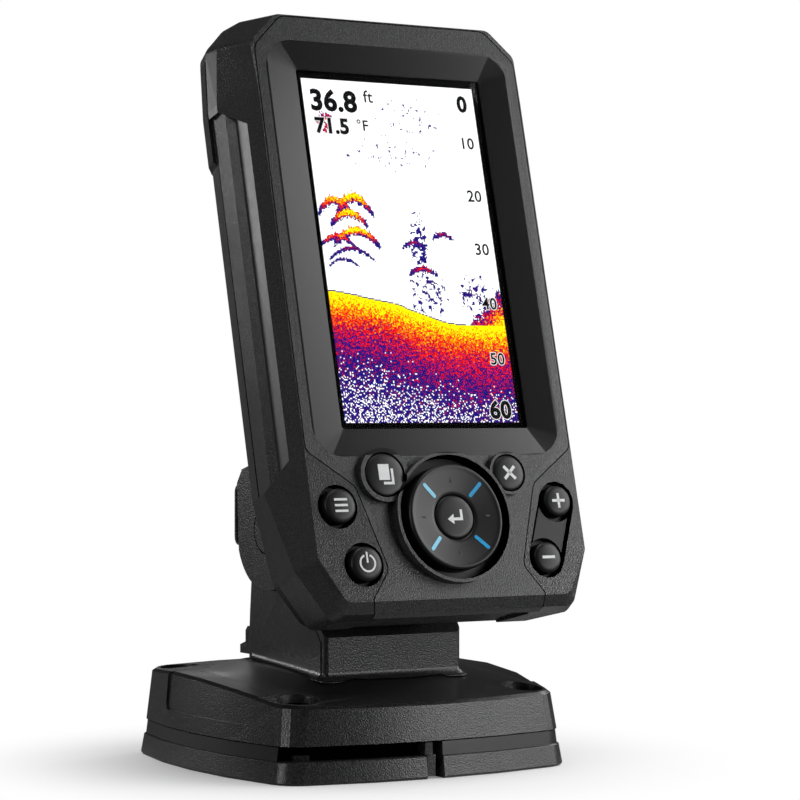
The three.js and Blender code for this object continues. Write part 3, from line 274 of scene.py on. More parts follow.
# One inside a rounded rectangle on the screen plane, fading over a narrow border
def makeRoundedPatch():
    inputs = [(label, "Float", 0.0) for label in ("Half Width", "Low", "High", "Radius")]
    inputs.append(("Fade", "Float", 0.15))
    group, given, result = newGroup("roundedPatch", inputs, [("Mask", "Float")])
    at = placeGroup(group, screenPlaces)
    middle = times(group, plus(group, given["Low"], given["High"]), 0.5)
    tall = times(group, minus(group, given["High"], given["Low"]), 0.5)
    across = minus(
        group, calc(group, "ABSOLUTE", at["U"]), minus(group, given["Half Width"], given["Radius"])
    )
    up = calc(group, "ABSOLUTE", minus(group, at["V"], middle))
    up = minus(group, up, minus(group, tall, given["Radius"]))
    corner = addNode(
        group, "CombineXYZ", {},
        {"X": calc(group, "MAXIMUM", across, 0.0), "Y": calc(group, "MAXIMUM", up, 0.0)},
    )
    reach = addNode(group, "VectorMath", {}, {0: corner.outputs[0]}, operation="LENGTH").outputs["Value"]
    reach = plus(group, reach, calc(group, "MINIMUM", calc(group, "MAXIMUM", across, up), 0.0))
    inside = calc(group, "DIVIDE", minus(group, given["Radius"], reach), given["Fade"], clamp=True)
    group.links.new(inside, result["Mask"])
    return group


screenPlaces = makeScreenPlaces()
roundedPatch = makeRoundedPatch()
mouldGrain = makeMouldGrain()
edgeWear = makeEdgeWear()
filmDust = makeFilmDust()
brushLines = makeBrushLines()


def newMaterial(name):
    material = bpy.data.materials.new(name)
    material.use_nodes = True
    tree = material.node_tree
    return material, tree, tree.nodes["Principled BSDF"]


def shade(colour, level=1.0):
    return (*[c * level for c in colour], 1)


# What the plastics share unless their own look says otherwise
plainPlastic = {
    "softness": 0.5,
    "bump": 0.5,
    "specular": 0.45,
    "speckle": 1.35,
    "clouds": 0.3,  # share of the wide darker clouds
    "cloudDark": 0.6,
    "shinier": 0.05,
    "duller": 0.08,
    "wear": 0.5,
    "wearStart": 0.53,
    "wearFull": 0.62,
    "wearPolish": 0.14,
    "wornColour": (0.07, 0.07, 0.071),
    "dust": 0.06,
    "dustColour": (0.3, 0.29, 0.27),
}


def mouldedPlastic(name, ownLook):
    look = plainPlastic | ownLook
    material, tree, shader = newMaterial(name)
    grain = placeGroup(tree, mouldGrain, {"Scale": look["grainScale"], "Softness": look["softness"]})
    wear = placeGroup(tree, edgeWear, {"Start": look["wearStart"], "Full": look["wearFull"]})["Mask"]
    dust = placeGroup(tree, filmDust, {"Amount": look["dust"]})["Mask"]
    dark = shade(look["colour"])
    light = shade(look["colour"], look["speckle"])
    body = mixColour(tree, grain["Speckle"], dark, light)
    cloudShare = times(tree, grain["Clouds"], look["clouds"])
    clouded = mixColour(tree, cloudShare, body, shade(look["colour"], look["cloudDark"]))
    wearShare = times(tree, wear, look["wear"])
    worn = mixColour(tree, wearShare, clouded, shade(look["wornColour"]))
    dusty = mixColour(tree, dust, worn, shade(look["dustColour"]))
    tree.links.new(dusty, shader.inputs["Base Color"])
    low, high = look["roughness"] - look["shinier"], look["roughness"] + look["duller"]
    rough = ranged(tree, grain["Clouds"], 0.0, 1.0, low, high)
    rough = minus(tree, rough, times(tree, wear, look["wearPolish"]), clamp=True)
    tree.links.new(rough, shader.inputs["Roughness"])
    bump = addNode(
        tree, "Bump", {"Strength": look["bump"], "Distance": look["grainDepth"] * mm},
        {"Height": grain["Height"]},
    )
    tree.links.new(bump.outputs["Normal"], shader.inputs["Normal"])
    shader.inputs["Specular IOR Level"].default_value = look["specular"]
    if "smooth" in look:
        smoothPatch(tree, shader, look["smooth"], dusty, rough, bump)
    return material


# Leaves the grain off inside a rounded rectangle round the screen
def smoothPatch(tree, shader, look, colour, rough, bump):
    values = {
        "Half Width": look["halfWidth"], "Low": look["low"], "High": look["high"], "Radius": look["radius"]
    }
    inside = placeGroup(tree, roundedPatch, values)["Mask"]
    tree.links.new(mixColour(tree, inside, colour, shade(look["colour"])), shader.inputs["Base Color"])
    keep = minus(tree, 1.0, inside)
    smooth = scaled(tree, inside, look["roughness"], times(tree, rough, keep))
    tree.links.new(smooth, shader.inputs["Roughness"])
    full = bump.inputs["Strength"].default_value
    strength = scaled(tree, inside, look["bump"], times(tree, full, keep))
    tree.links.new(strength, bump.inputs["Strength"])


plainMetal = {"darkLines": 0.72, "lineRough": 0.16, "wearPolish": 0.08, "bump": 0.3, "lineDepth": 0.01}


def metal(name, ownLook):
    look = plainMetal | ownLook
    material, tree, shader = newMaterial(name)
    lines = placeGroup(tree, brushLines, {"Scale": look["lines"]})["Height"]
    wear = placeGroup(tree, edgeWear)["Mask"]
    dark = shade(look["colour"], look["darkLines"])
    tree.links.new(mixColour(tree, lines, shade(look["colour"]), dark), shader.inputs["Base Color"])
    rough = ranged(tree, lines, 0.0, 1.0, look["roughness"], look["roughness"] + look["lineRough"])
    tree.links.new(minus(tree, rough, times(tree, wear, look["wearPolish"])), shader.inputs["Roughness"])
    bump = addNode(
        tree, "Bump", {"Strength": look["bump"], "Distance": look["lineDepth"] * mm}, {"Height": lines}
    )
    tree.links.new(bump.outputs["Normal"], shader.inputs["Normal"])
    shader.inputs["Metallic"].default_value = 1.0
    return material


looks = {
    "shellBlack": {
        "colour": (0.0085, 0.0086, 0.009), "roughness": 0.31, "grainScale": 3000.0,
        "grainDepth": 0.06, "bump": 0.9, "speckle": 5.0, "dust": 0.0,
    },
    "plateBlack": {
        "colour": (0.013, 0.0132, 0.0137), "roughness": 0.36, "grainScale": 3000.0,
        "grainDepth": 0.06, "bump": 0.9, "speckle": 4.0, "dust": 0.0,
        "smooth": {
            "halfWidth": 38.15, "low": -9.5, "high": 104.9, "radius": 8.5,
            "colour": (0.005, 0.005, 0.0052), "roughness": 0.22, "bump": 0.03,
        },
    },
    "baseBlack": {
        "colour": (0.008, 0.0081, 0.0084), "roughness": 0.29, "grainScale": 3000.0,
        "grainDepth": 0.06, "bump": 0.9, "speckle": 5.0, "dust": 0.0,
    },
    "shellSmooth": {
        "colour": (0.0085, 0.0085, 0.0088), "roughness": 0.34, "grainScale": 3000.0,
        "grainDepth": 0.02, "bump": 0.5, "speckle": 2.0,
    },
    "flankBlack": {
        "colour": (0.0085, 0.0085, 0.0088), "roughness": 0.46, "grainScale": 3000.0,
        "grainDepth": 0.008, "bump": 0.3, "speckle": 1.0,
    },
    "smoothBlack": {
        "colour": (0.006, 0.0061, 0.0063), "roughness": 0.35, "grainScale": 3300.0,
        "grainDepth": 0.01, "bump": 0.2, "speckle": 1.5, "dust": 0.02,
    },
    "keyRubber": {
        "colour": (0.005, 0.005, 0.0052), "roughness": 0.38, "specular": 0.33,
        "grainScale": 4200.0, "grainDepth": 0.03, "bump": 0.3, "speckle": 1.3, "dust": 0.0,
    },
    "sealRubber": {
        "colour": (0.0035, 0.0035, 0.0035), "roughness": 0.7, "grainScale": 3200.0,
        "grainDepth": 0.06, "speckle": 1.3, "dust": 0.0,
    },
    # Painted shade: a near-black sheet with no reflection, laid on the walls of the key wells and inside the
    # base's opening, where only shade falls
    "gapBlack": {
        "colour": (0.001, 0.001, 0.001), "roughness": 0.85, "specular": 0.0,
        "grainScale": 3200.0, "grainDepth": 0.02, "speckle": 1.3, "dust": 0.0, "wear": 0.0,
    },
}
plastics = {name: mouldedPlastic(name, look) for name, look in looks.items()}
steel = metal(
    "stainlessSteel", {"colour": (0.56, 0.57, 0.58), "roughness": 0.24, "lines": (400.0, 400.0, 5200.0)}
)
print("plastics and metal made")


# A piece that rides on a body, with its material; the CAD nodes that it stands for are hidden
def addPiece(name, mesh, material, body, replaces=()):
    piece = bpy.data.objects.new(name, mesh)
    scene.collection.objects.link(piece)
    mesh.materials.clear()
    mesh.materials.append(material)
    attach(piece, body)
    for node in replaces:
        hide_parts(node)
    return piece


# Rounds the edges of a piece and shades it smoothly
def soften(piece, width, angle=26, segments=2):
    bevel = piece.modifiers.new("edges", "BEVEL")
    bevel.width = width * mm
    bevel.segments = segments
    bevel.limit_method = "ANGLE"
    bevel.angle_limit = math.radians(angle)
    bevel.use_clamp_overlap = True
    bevel.harden_normals = False
    bevel.miter_outer = "MITER_ARC"
    even = piece.modifiers.new("evenShading", "WEIGHTED_NORMAL")
    even.keep_sharp = True
    even.weight = 60


# A copy of a CAD node with rounded edges and a finish; faces that pass a test get another material from a
# list of finishes and painted shade
def dress(node, material, width=0.3, angle=26, weld=0.02, flat=1.5, finishesAndShade=()):
    source = frame["nodes"][node]
    mesh = source.data.copy()
    mesh.name = node + "_shape"
    work = bmesh.new()
    work.from_mesh(mesh)
    bmesh.ops.remove_doubles(work, verts=work.verts, dist=weld * mm)
    bmesh.ops.dissolve_limit(work, angle_limit=math.radians(flat), verts=work.verts, edges=work.edges)
    bmesh.ops.recalc_face_normals(work, faces=work.faces)
    for face in work.faces:
        face.smooth = True
    work.to_mesh(mesh)
    work.free()
    mesh.set_sharp_from_angle(angle=math.radians(angle))
    piece = addPiece(node + "_shape", mesh, material, source["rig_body"], (node,))
    for extraMaterial, test in finishesAndShade:
        mesh.materials.append(extraMaterial)
        for face in mesh.polygons:
            if test(face.center / mm, face.normal):
                face.material_index = len(mesh.materials) - 1
    soften(piece, width, angle)
    return piece


# Even shading along the bowed walls of the base, which are built in steps
def evenWalls(piece, look):
    graph = bpy.context.evaluated_depsgraph_get()
    mesh = bpy.data.meshes.new_from_object(
        piece.evaluated_get(graph), preserve_all_data_layers=True, depsgraph=graph
    )
    normals = [corner.vector.copy() for corner in mesh.corner_normals]
    for face in mesh.polygons:
        across = abs(face.normal.x) > abs(face.normal.y)
        out, along = (0, 1) if across else (1, 0)
        steep = abs(face.normal[out]) > look["wallFacing"] and abs(face.normal.z) < look["wallLean"]
        if not steep or abs(face.center[out] / mm) < look["wallFrom"]:
            continue
        way = math.copysign(1.0, face.normal[out])
        for corner in face.loop_indices:
            at = mesh.vertices[mesh.loops[corner].vertex_index].co / mm
            place = max(-look["bowHalf"], min(look["bowHalf"], at[along]))
            facing = Vector((0, 0, face.normal.z))
            facing[out] = way
            facing[along] = 2 * look["bow"] * place / look["bowHalf"] ** 2
            normals[corner] = facing.normalized()
    mesh.normals_split_custom_set(normals)
    piece.modifiers.clear()
    piece.data = mesh


def meshFrom(name, vertices, faces, matrix=None, smooth=True):
    mesh = bpy.data.meshes.new(name)
    mesh.from_pydata([Vector(v) * mm for v in vertices], [], faces)
    work = bmesh.new()
    work.from_mesh(mesh)
    bmesh.ops.remove_doubles(work, verts=work.verts, dist=1e-7)
    bmesh.ops.recalc_face_normals(work, faces=work.faces)
    for face in work.faces:
        face.smooth = smooth
    work.to_mesh(mesh)
    work.free()
    if matrix:
        mesh.transform(matrix)
    return mesh


# Turns a profile of (radius, height) points about the local z axis
def turnedMesh(name, profile, matrix, sides=72):
    vertices, faces = [], []
    for radius, height in profile:
        for i in range(sides):
            angle = 2 * math.pi * i / sides
            vertices.append((radius * math.cos(angle), radius * math.sin(angle), height))
    for ring in range(len(profile) - 1):
        for i in range(sides):
            j = (i + 1) % sides
            faces.append((ring * sides + i, ring * sides + j, (ring + 1) * sides + j, (ring + 1) * sides + i))
    mesh = meshFrom(name, vertices, faces, matrix)
    mesh.set_sharp_from_angle(angle=math.radians(40))
    return mesh


# A thin plate on an outline of (x, y) points, level or lifted by a surface
def outlineMesh(name, outline, low, high, matrix, surface=None):
    count = len(outline)
    lift = [surface(x, y) if surface else 0.0 for x, y in outline]
    vertices = [(x, y, z + low) for (x, y), z in zip(outline, lift)]
    vertices += [(x, y, z + high) for (x, y), z in zip(outline, lift)]
    faces = [tuple(range(count))[::-1], tuple(range(count, 2 * count))]
    faces += [(i, (i + 1) % count, count + (i + 1) % count, count + i) for i in range(count)]
    return meshFrom(name, vertices, faces, matrix, smooth=False)


# Case, frame and face plate
caseLook = {
    "edge": 0.3,
    "fineEdge": 0.22,
    "crease": 11,
    "wellFloor": -0.8,  # mm below the lit area, a well has no rim below this
    "sideways": 0.3,  # a face is steep where its normal leans out less than this
    "flank": (85.5, 93.5),  # degrees from the front
    "ridgeRear": (93.5, 99),
    "wells": [  # across, up and radius of the holes that the keys sit in
        (-33.5, -22.6, 6.4), (-27.9, -37.9, 6.4), (-19.1, -14.7, 6.4), (19.1, -14.7, 5.5),
        (0, -26.4, 17.3), (34.05, -22.35, 5.9), (31.2, -30.0, 5.9), (28.35, -37.65, 5.9),
    ],
}
fromScreen = onScreen(0, 0, 0).inverted()


# Faces down in the key wells, which get painted shade
def inWell(centre, normal):
    at = fromScreen @ (centre * mm) / mm
    steep = abs(normal.dot(screenOut)) < caseLook["sideways"] or at.z < caseLook["wellFloor"]
    return steep and any(math.hypot(at.x - u, at.y - v) < radius for u, v, radius in caseLook["wells"])


# How far a face is turned from the front, seen from above
def turned(normal):
    upright = abs(normal.z) < caseLook["sideways"]
    return abs(math.degrees(math.atan2(normal.x, -normal.y))) if upright else 0.0


def onFlank(centre, normal):
    low, high = caseLook["flank"]
    return low < turned(normal) < high


def onRidgeRear(centre, normal):
    low, high = caseLook["ridgeRear"]
    return low <= turned(normal) < high


# Painted shade: the steep walls and deep floors of the key wells get the near-black sheet that stands for the
# shade down there
wellPaintedShade = [(plastics["gapBlack"], inWell)]
frameFinishesAndShade = [(plastics["flankBlack"], onFlank), (plastics["shellSmooth"], onRidgeRear)] + wellPaintedShade
dress(
    "front_frame", plastics["shellBlack"], caseLook["edge"], caseLook["crease"],
    finishesAndShade=frameFinishesAndShade,
)
dress(
    "face_plate", plastics["plateBlack"], caseLook["fineEdge"], caseLook["crease"],
    finishesAndShade=wellPaintedShade,
)
dress("rear_case", plastics["shellBlack"], caseLook["edge"], caseLook["crease"])
dress("housing_gasket", plastics["sealRubber"], 0.1)
dress("zoom_slot_insert", plastics["keyRubber"], 0.25)
for node in ("power_socket", "transducer_socket"):
    dress(node, plastics["sealRubber"], 0.25)
print("case dressed")

# Tilting head, neck and base
baseLook = {
    "half": 45.0,  # mm, outline: half width at the corners, with bowed walls that lean in
    "bow": 4.6,
    "bowHalf": 38.0,
    "draft": 0.115,
    "wallFrom": 38.0,
    "wallFacing": 0.955,
    "wallLean": 0.2,
    "band": (5.9, 9.7),
    "bandLean": 0.4,
    "opening": (-46.0, -4.2),
    "openingHeight": (5.5, 10.3),
    "skin": 1.6,
    "deckFacing": 0.8,
    "deckFrom": 18,
}


# How far a point of the base lies inside its outer walls
def baseInset(at):
    lean = baseLook["half"] - baseLook["draft"] * at.z
    front = lean + baseLook["bow"] * (1 - (at.x / baseLook["bowHalf"]) ** 2) - abs(at.y)
    side = lean + baseLook["bow"] * (1 - (at.y / baseLook["bowHalf"]) ** 2) - abs(at.x)
    return min(front, side)


def inBand(centre, normal):
    low, high = baseLook["band"]
    return low < centre.z < high and abs(normal.z) < baseLook["bandLean"]


# Faces inside the base's front opening, which get painted shade
def inOpening(centre, normal):
    left, right = baseLook["opening"]
    low, high = baseLook["openingHeight"]
    within = left < centre.x < right and low < centre.z < high
    return within and centre.y < 0 and baseInset(centre) > baseLook["skin"]


def onDeck(centre, normal):
    return normal.z > baseLook["deckFacing"] and centre.z > baseLook["deckFrom"]


for node in ("tilt_head", "release_button", "pin_cap_left", "pin_cap_right"):
    dress(node, plastics["shellBlack"], 0.3)
# Painted shade: the inside of the base's front opening is lined with the near-black sheet, standing for the
# shade in it
openingPaintedShade = (plastics["gapBlack"], inOpening)
for node, width, test in (("base_plate", 0.3, inBand), ("swivel_housing", 0.45, onDeck)):
    finishesAndShade = [(plastics["smoothBlack"], test), openingPaintedShade]
    piece = dress(node, plastics["baseBlack"], width, flat=0.1, finishesAndShade=finishesAndShade)
    evenWalls(piece, baseLook)
for node in ("neck_cover", "neck_latch", "swivel_lock_lever"):
    dress(node, plastics["baseBlack"], 0.3)
for node in ("tilt_pin", "latch_pin", "swivel_retainer"):
    dress(node, steel, 0.15)
for node in frame["nodes"]:
    if "_screw_" in node:
        dress(node, steel, 0.12)
print("head, neck and base dressed")

# Keys: turned caps with printed signs
keyLook = {
    "print": (0.82, 0.83, 0.84),
    "printSpecks": (0.7, 0.71, 0.72),
    "shoulder": [(0, 0.95), (0.06, 0.72), (0.22, 0.52), (0.45, 0.42)],  # inset and drop at the cap's rim
    "printHeight": 0.05,
    "shank": -2.4,
    "top": 4.0,
    "keys": {
        "menu_button": {"at": (-33.5, -22.6), "radius": 4.5, "flange": 5.55},
        "power_button": {"at": (-27.9, -37.9), "radius": 4.5, "flange": 5.55},
        "pages_button": {"at": (-19.1, -14.7), "radius": 5.75, "flange": 5.8},
        "exit_button": {"at": (19.1, -14.7), "radius": 4.85, "flange": 4.9},
        "zoom_in_button": {"at": (34.05, -22.35), "radius": 4.2, "flange": 5.25, "top": 3.1},
        "zoom_out_button": {"at": (28.35, -37.65), "radius": 4.2, "flange": 5.25, "top": 3.1},
    },
}


# Printed colour with faint specks, a second tint or a darker shade of its own
def printInk(name, colour, roughness, specks=None, bump=0.0):
    material, tree, shader = newMaterial(name)
    grain = placeGroup(tree, mouldGrain, {"Scale": 5200.0})
    tint = mixColour(tree, grain["Speckle"], shade(colour), specks or shade(colour, 0.88))
    tree.links.new(tint, shader.inputs["Base Color"])
    tree.links.new(scaled(tree, grain["Clouds"], 0.2, roughness), shader.inputs["Roughness"])
    if bump:
        raised = addNode(tree, "Bump", {"Strength": bump, "Distance": 0.02 * mm}, {"Height": grain["Height"]})
        tree.links.new(raised.outputs["Normal"], shader.inputs["Normal"])
    return material


ink = printInk("printedInk", keyLook["print"], 0.4, shade(keyLook["printSpecks"]), 0.2)


def arcPoints(cx, cy, radius, start, stop, count):
    steps = [math.radians(start + (stop - start) * i / count) for i in range(count + 1)]
    return [(cx + radius * math.cos(a), cy + radius * math.sin(a)) for a in steps]


def bar(x0, y0, x1, y1, thick):
    along = Vector((x1 - x0, y1 - y0)).normalized()
    side = Vector((-along.y, along.x)) * thick / 2
    corners = [(x0 + side.x, y0 + side.y), (x0 - side.x, y0 - side.y)]
    return corners + [(x1 - side.x, y1 - side.y), (x1 + side.x, y1 + side.y)]


def roundBar(x0, y0, x1, y1, thick):
    turn = math.degrees(math.atan2(y1 - y0, x1 - x0))
    end = arcPoints(x1, y1, thick / 2, turn - 90, turn + 90, 8)
    return end + arcPoints(x0, y0, thick / 2, turn + 90, turn + 270, 8)


def ringArc(radius, thick, start, stop, count=28):
    outer = arcPoints(0, 0, radius + thick / 2, start, stop, count)
    return outer + arcPoints(0, 0, radius - thick / 2, stop, start, count)


signs = {
    "menu_button": [bar(-1.9, y, 1.9, y, 0.62) for y in (1.5, 0, -1.5)],
    "power_button": [ringArc(2.15, 0.5, 112, 428), bar(0, 0.1, 0, 2.95, 0.5)],
    "pages_button": [
        [(-2.1, -1.5), (1.1, -1.5), (1.1, 2.7), (-2.1, 2.7)],
        [(-0.9, -2.7), (2.3, -2.7), (2.3, 1.5), (1.6, 1.5), (1.6, -2.0), (-0.9, -2.0)],
    ],
    "exit_button": [bar(-1.7, -1.7, 1.7, 1.7, 0.85), bar(-1.7, 1.7, 1.7, -1.7, 0.85)],
    "zoom_in_button": [bar(-2.0, 0, 2.0, 0, 0.75), bar(0, -2.0, 0, 2.0, 0.75)],
    "zoom_out_button": [bar(-2.0, 0, 2.0, 0, 0.75)],
    "enter_button": [
        [
            (2.3, 1.9), (1.55, 1.9), (1.55, -0.25), (-0.5, -0.25), (-0.5, 0.75), (-2.4, -0.62), (-0.5, -2.0),
            (-0.5, -1.0), (2.3, -1.0),
        ]
    ],
}


def addSign(node, u, v, top, lift, body):
    for i, outline in enumerate(signs[node]):
        mesh = outlineMesh(node + "_sign_%d" % (i + 1), outline, top - 0.35, top + lift, onScreen(u, v, 0))
        addPiece(node + "_sign_%d" % (i + 1), mesh, ink, body)


def addKey(node, look):
    radius, top, u, v = look["radius"], look.get("top", keyLook["top"]), *look["at"]
    profile = [
        (0, keyLook["shank"]), (look["flange"], keyLook["shank"]), (look["flange"], -1.0), (radius, -1.0)
    ]
    profile += [(radius - inset, top - drop) for inset, drop in keyLook["shoulder"]]
    profile.append((radius * 0.86, top - 0.33))
    profile += [(radius * s, top - 0.38 * s * s) for s in (0.7, 0.5, 0.3, 0.12, 0)]
    mesh = turnedMesh(node + "_cap", profile, onScreen(u, v, 0))
    addPiece(node + "_cap", mesh, plastics["keyRubber"], node, (node,))
    addSign(node, u, v, top - 0.12, keyLook["printHeight"] + 0.07, node)


for node in keyLook["keys"]:
    addKey(node, keyLook["keys"][node])

padLook = {
    "at": (0, -26.4),
    "radius": 14.2,
    "skirt": 16.4,
    "bottom": -1.9,
    "skirtTop": 0.5,
    "edge": 5.3,
    "middle": 4.1,
    "bore": 6.1,
    "enterRadius": 5.85,
    "enterTop": 4.4,
    "strokeIn": 7.9,
    "strokeOut": 12.0,
    "strokeWidth": 1.0,
    "strokeRoot": 0.4,
    "strokeLift": 0.07,
    "rimSteps": [(0, 0.75), (0.1, 0.4), (0.32, 0.14), (0.62, 0.02), (0.95, 0.03), (1.25, 0.14)],
    "dishSteps": (0.12, 0.35, 0.6, 0.85),
    "dishCurve": 0.9,
    "dishShare": 0.97,
    "tick": (9.2, 10.7, 0.42),  # inner and outer reach, width
    "tickRise": 4.0,
    "lightBlue": (0.16, 0.60, 0.84),
    "deepBlue": (0.0, 0.36, 0.72),
}


def addPad(look):
    u, v = look["at"]
    place = onScreen(u, v, 0)
    edge, middle, radius = look["edge"], look["middle"], look["radius"]
    profile = [
        (look["bore"], look["bottom"]), (look["skirt"], look["bottom"]), (look["skirt"], look["skirtTop"])
    ]
    profile.append((radius, look["skirtTop"]))
    profile += [(radius - inset, edge - drop) for inset, drop in look["rimSteps"]]
    inner, rim = profile[-1]
    for s in look["dishSteps"]:
        profile.append((inner - (inner - look["bore"]) * s, rim - (rim - middle) * s ** look["dishCurve"]))
    profile += [
        (look["bore"] + 0.25, middle + 0.02), (look["bore"], middle - 0.2), (look["bore"], look["bottom"])
    ]
    mesh = turnedMesh("direction_pad_cap", profile, place, 96)
    addPiece("direction_pad_cap", mesh, plastics["keyRubber"], "direction_pad", ("direction_pad",))
    blues = {
        -1: printInk("strokeLightBlue", look["lightBlue"], 0.3),
        1: printInk("strokeDeepBlue", look["deepBlue"], 0.3),
    }
    slope = (rim - middle) / (inner - look["bore"])

    def dish(x, y):
        return middle + slope * (math.hypot(x, y) - look["bore"]) * look["dishShare"]

    near, far = look["strokeIn"] / math.sqrt(2), look["strokeOut"] / math.sqrt(2)
    for i, (sx, sy) in enumerate(((-1, 1), (1, 1), (1, -1), (-1, -1))):
        outline = roundBar(sx * near, sy * near, sx * far, sy * far, look["strokeWidth"])
        name = "pad_stroke_%d" % (i + 1)
        mesh = outlineMesh(name, outline, -look["strokeRoot"], look["strokeLift"], place, dish)
        addPiece(name, mesh, blues[sx], "direction_pad")
    near, far, wide = look["tick"]
    for i, (x, y) in enumerate(((0, 1), (1, 0), (0, -1), (-1, 0))):
        name = "pad_tick_%d" % (i + 1)
        outline = bar(x * near, y * near, x * far, y * far, wide)
        mesh = outlineMesh(name, outline, middle - 0.2, middle + slope * look["tickRise"] + 0.03, place)
        addPiece(name, mesh, plastics["sealRubber"], "direction_pad")
    top, r = look["enterTop"], look["enterRadius"]
    profile = [(0, -2.4), (r, -2.4), (r, top - 0.75), (r - 0.08, top - 0.5), (r - 0.28, top - 0.32)]
    profile += [(r * s, top - 0.26 * s * s) for s in (0.88, 0.7, 0.45, 0.2)] + [(0, top)]
    mesh = turnedMesh("enter_button_cap", profile, place)
    addPiece("enter_button_cap", mesh, plastics["keyRubber"], "enter_button", ("enter_button",))
    addSign("enter_button", u, v, top - 0.1, keyLook["printHeight"] + 0.05, "enter_button")


addPad(padLook)
for node in ("pad_carrier", "keypad_membrane"):
    frame["nodes"][node].data.materials.clear()
    frame["nodes"][node].data.materials.append(plastics["sealRubber"])
print("keys made")

# Screen: lit panel with a generated sonar picture, printed numbers, clear lens
screenLook = {
    "width": 53.9,
    "height": 95.0,
    "columns": 160,
    "rows": 282,
    "back": 0.005,  # mm above the panel: the lit sheet's two faces and the numbers
    "face": 0.02,
    "digits": 0.05,
    "brightness": 0.94,
    "bodyTint": 0.25,  # share of the picture in the panel's own colour
    "palette": [
        (0.0, (1.0, 1.0, 1.0)),
        (0.2, (0.006, 0.004, 0.15)),
        (0.32, (0.02, 0.004, 0.2)),
        (0.43, (0.12, 0.002, 0.1)),
        (0.5, (0.5, 0.002, 0.02)),
        (0.6, (0.85, 0.012, 0.006)),
        (0.71, (0.95, 0.16, 0.0)),
        (0.78, (1.0, 0.42, 0.0)),
        (0.85, (1.0, 0.82, 0.0)),
    ],
    "noise": {  # scale, detail and roughness of the scatter fields
        "grit": (95.0, 1.0, 0.5),
        "field": (34.0, 2.0, 0.65),
        "wave": (3.2, 2.0, 0.5),
    },
    "bed": {
        "left": 0.375,
        "drop": 0.098,
        "slope": (0.05, 0.8),
        "wave": 0.03,
        "fade": 8.2,
        "strong": 0.79,
        "floor": 0.215,
        "loose": 0.36,
        "tighter": 0.12,
        "gritty": 0.3,
        "line": 0.0036,
        "lineLevel": 0.26,
    },
    "rock": {
        "from": 0.72, "low": -0.02, "high": 0.125, "rough": 0.10, "sink": 0.055, "core": 9.0, "gain": 0.6,
        "base": 0.3,
    },
    "arches": [  # middle across, middle up, half width, drop, thickness, strength
        (0.10, 0.655, 0.11, 0.055, 0.026, 0.86),
        (0.21, 0.668, 0.12, 0.07, 0.03, 1.0),
        (0.17, 0.618, 0.12, 0.05, 0.026, 0.94),
        (0.20, 0.567, 0.15, 0.06, 0.026, 0.96),
        (0.09, 0.545, 0.12, 0.05, 0.018, 0.7),
        (0.16, 0.508, 0.16, 0.055, 0.014, 0.5),
        (0.11, 0.475, 0.12, 0.045, 0.011, 0.42),
        (0.53, 0.532, 0.09, 0.03, 0.017, 0.5),
        (0.70, 0.560, 0.08, 0.03, 0.016, 0.52),
        (0.56, 0.455, 0.10, 0.028, 0.018, 0.6),
        (0.60, 0.415, 0.05, 0.02, 0.008, 0.42),
    ],
    "clouds": [  # middle across, middle up, half width, half height, share filled, strength
        (0.56, 0.51, 0.06, 0.13, 0.53, 0.34),
        (0.57, 0.37, 0.14, 0.09, 0.46, 0.32),
        (0.84, 0.375, 0.11, 0.07, 0.5, 0.36),
        (0.10, 0.875, 0.06, 0.035, 0.6, 0.52),
        (0.60, 0.90, 0.26, 0.075, 0.36, 0.34),
        (0.45, 0.79, 0.40, 0.08, 0.33, 0.33),
    ],
}


# One bowed echo, strongest along its upper rim
def makeArchEcho():
    labels = ("Across", "Up", "Middle", "Height", "Reach", "Drop", "Thick", "Strength", "Rough")
    group, given, result = newGroup(
        "archEcho", [(label, "Float", 0.0) for label in labels], [("Echo", "Float")]
    )
    part = calc(group, "DIVIDE", minus(group, given["Across"], given["Middle"]), given["Reach"])
    bow = times(group, times(group, part, part), given["Drop"])
    rim = plus(group, minus(group, given["Height"], bow), times(group, given["Rough"], given["Thick"]))
    below = calc(group, "DIVIDE", minus(group, rim, given["Up"]), given["Thick"])
    inside = times(group, calc(group, "GREATER_THAN", below, 0.0), calc(group, "LESS_THAN", below, 1.0))
    reach = minus(group, 1.0, calc(group, "POWER", calc(group, "ABSOLUTE", part), 2.4), clamp=True)
    core = calc(group, "ABSOLUTE", minus(group, below, 0.34))
    fade = minus(group, 1.12, times(group, core, 1.25), clamp=True)
    echo = times(group, times(group, inside, fade), times(group, reach, given["Strength"]))
    group.links.new(echo, result["Echo"])
    return group


# Scattered echoes inside an oval
def makeCloudEcho():
    labels = ("Across", "Up", "Middle", "Height", "Wide", "Tall", "Share", "Strength", "Field")
    group, given, result = newGroup(
        "cloudEcho", [(label, "Float", 0.0) for label in labels], [("Echo", "Float")]
    )
    across = calc(group, "DIVIDE", minus(group, given["Across"], given["Middle"]), given["Wide"])
    up = calc(group, "DIVIDE", minus(group, given["Up"], given["Height"]), given["Tall"])
    away = plus(group, times(group, across, across), times(group, up, up))
    near = minus(group, 1.0, away, clamp=True)
    limit = minus(group, 1.0, times(group, given["Share"], calc(group, "POWER", near, 0.3)))
    filled = calc(group, "GREATER_THAN", given["Field"], limit)
    body = times(group, filled, calc(group, "GREATER_THAN", near, 0.0))
    group.links.new(times(group, body, given["Strength"]), result["Echo"])
    return group


archEcho = makeArchEcho()
cloudEcho = makeCloudEcho()


def snapped(tree, value, steps):
    return calc(tree, "DIVIDE", plus(tree, calc(tree, "FLOOR", times(tree, value, steps)), 0.5), steps)


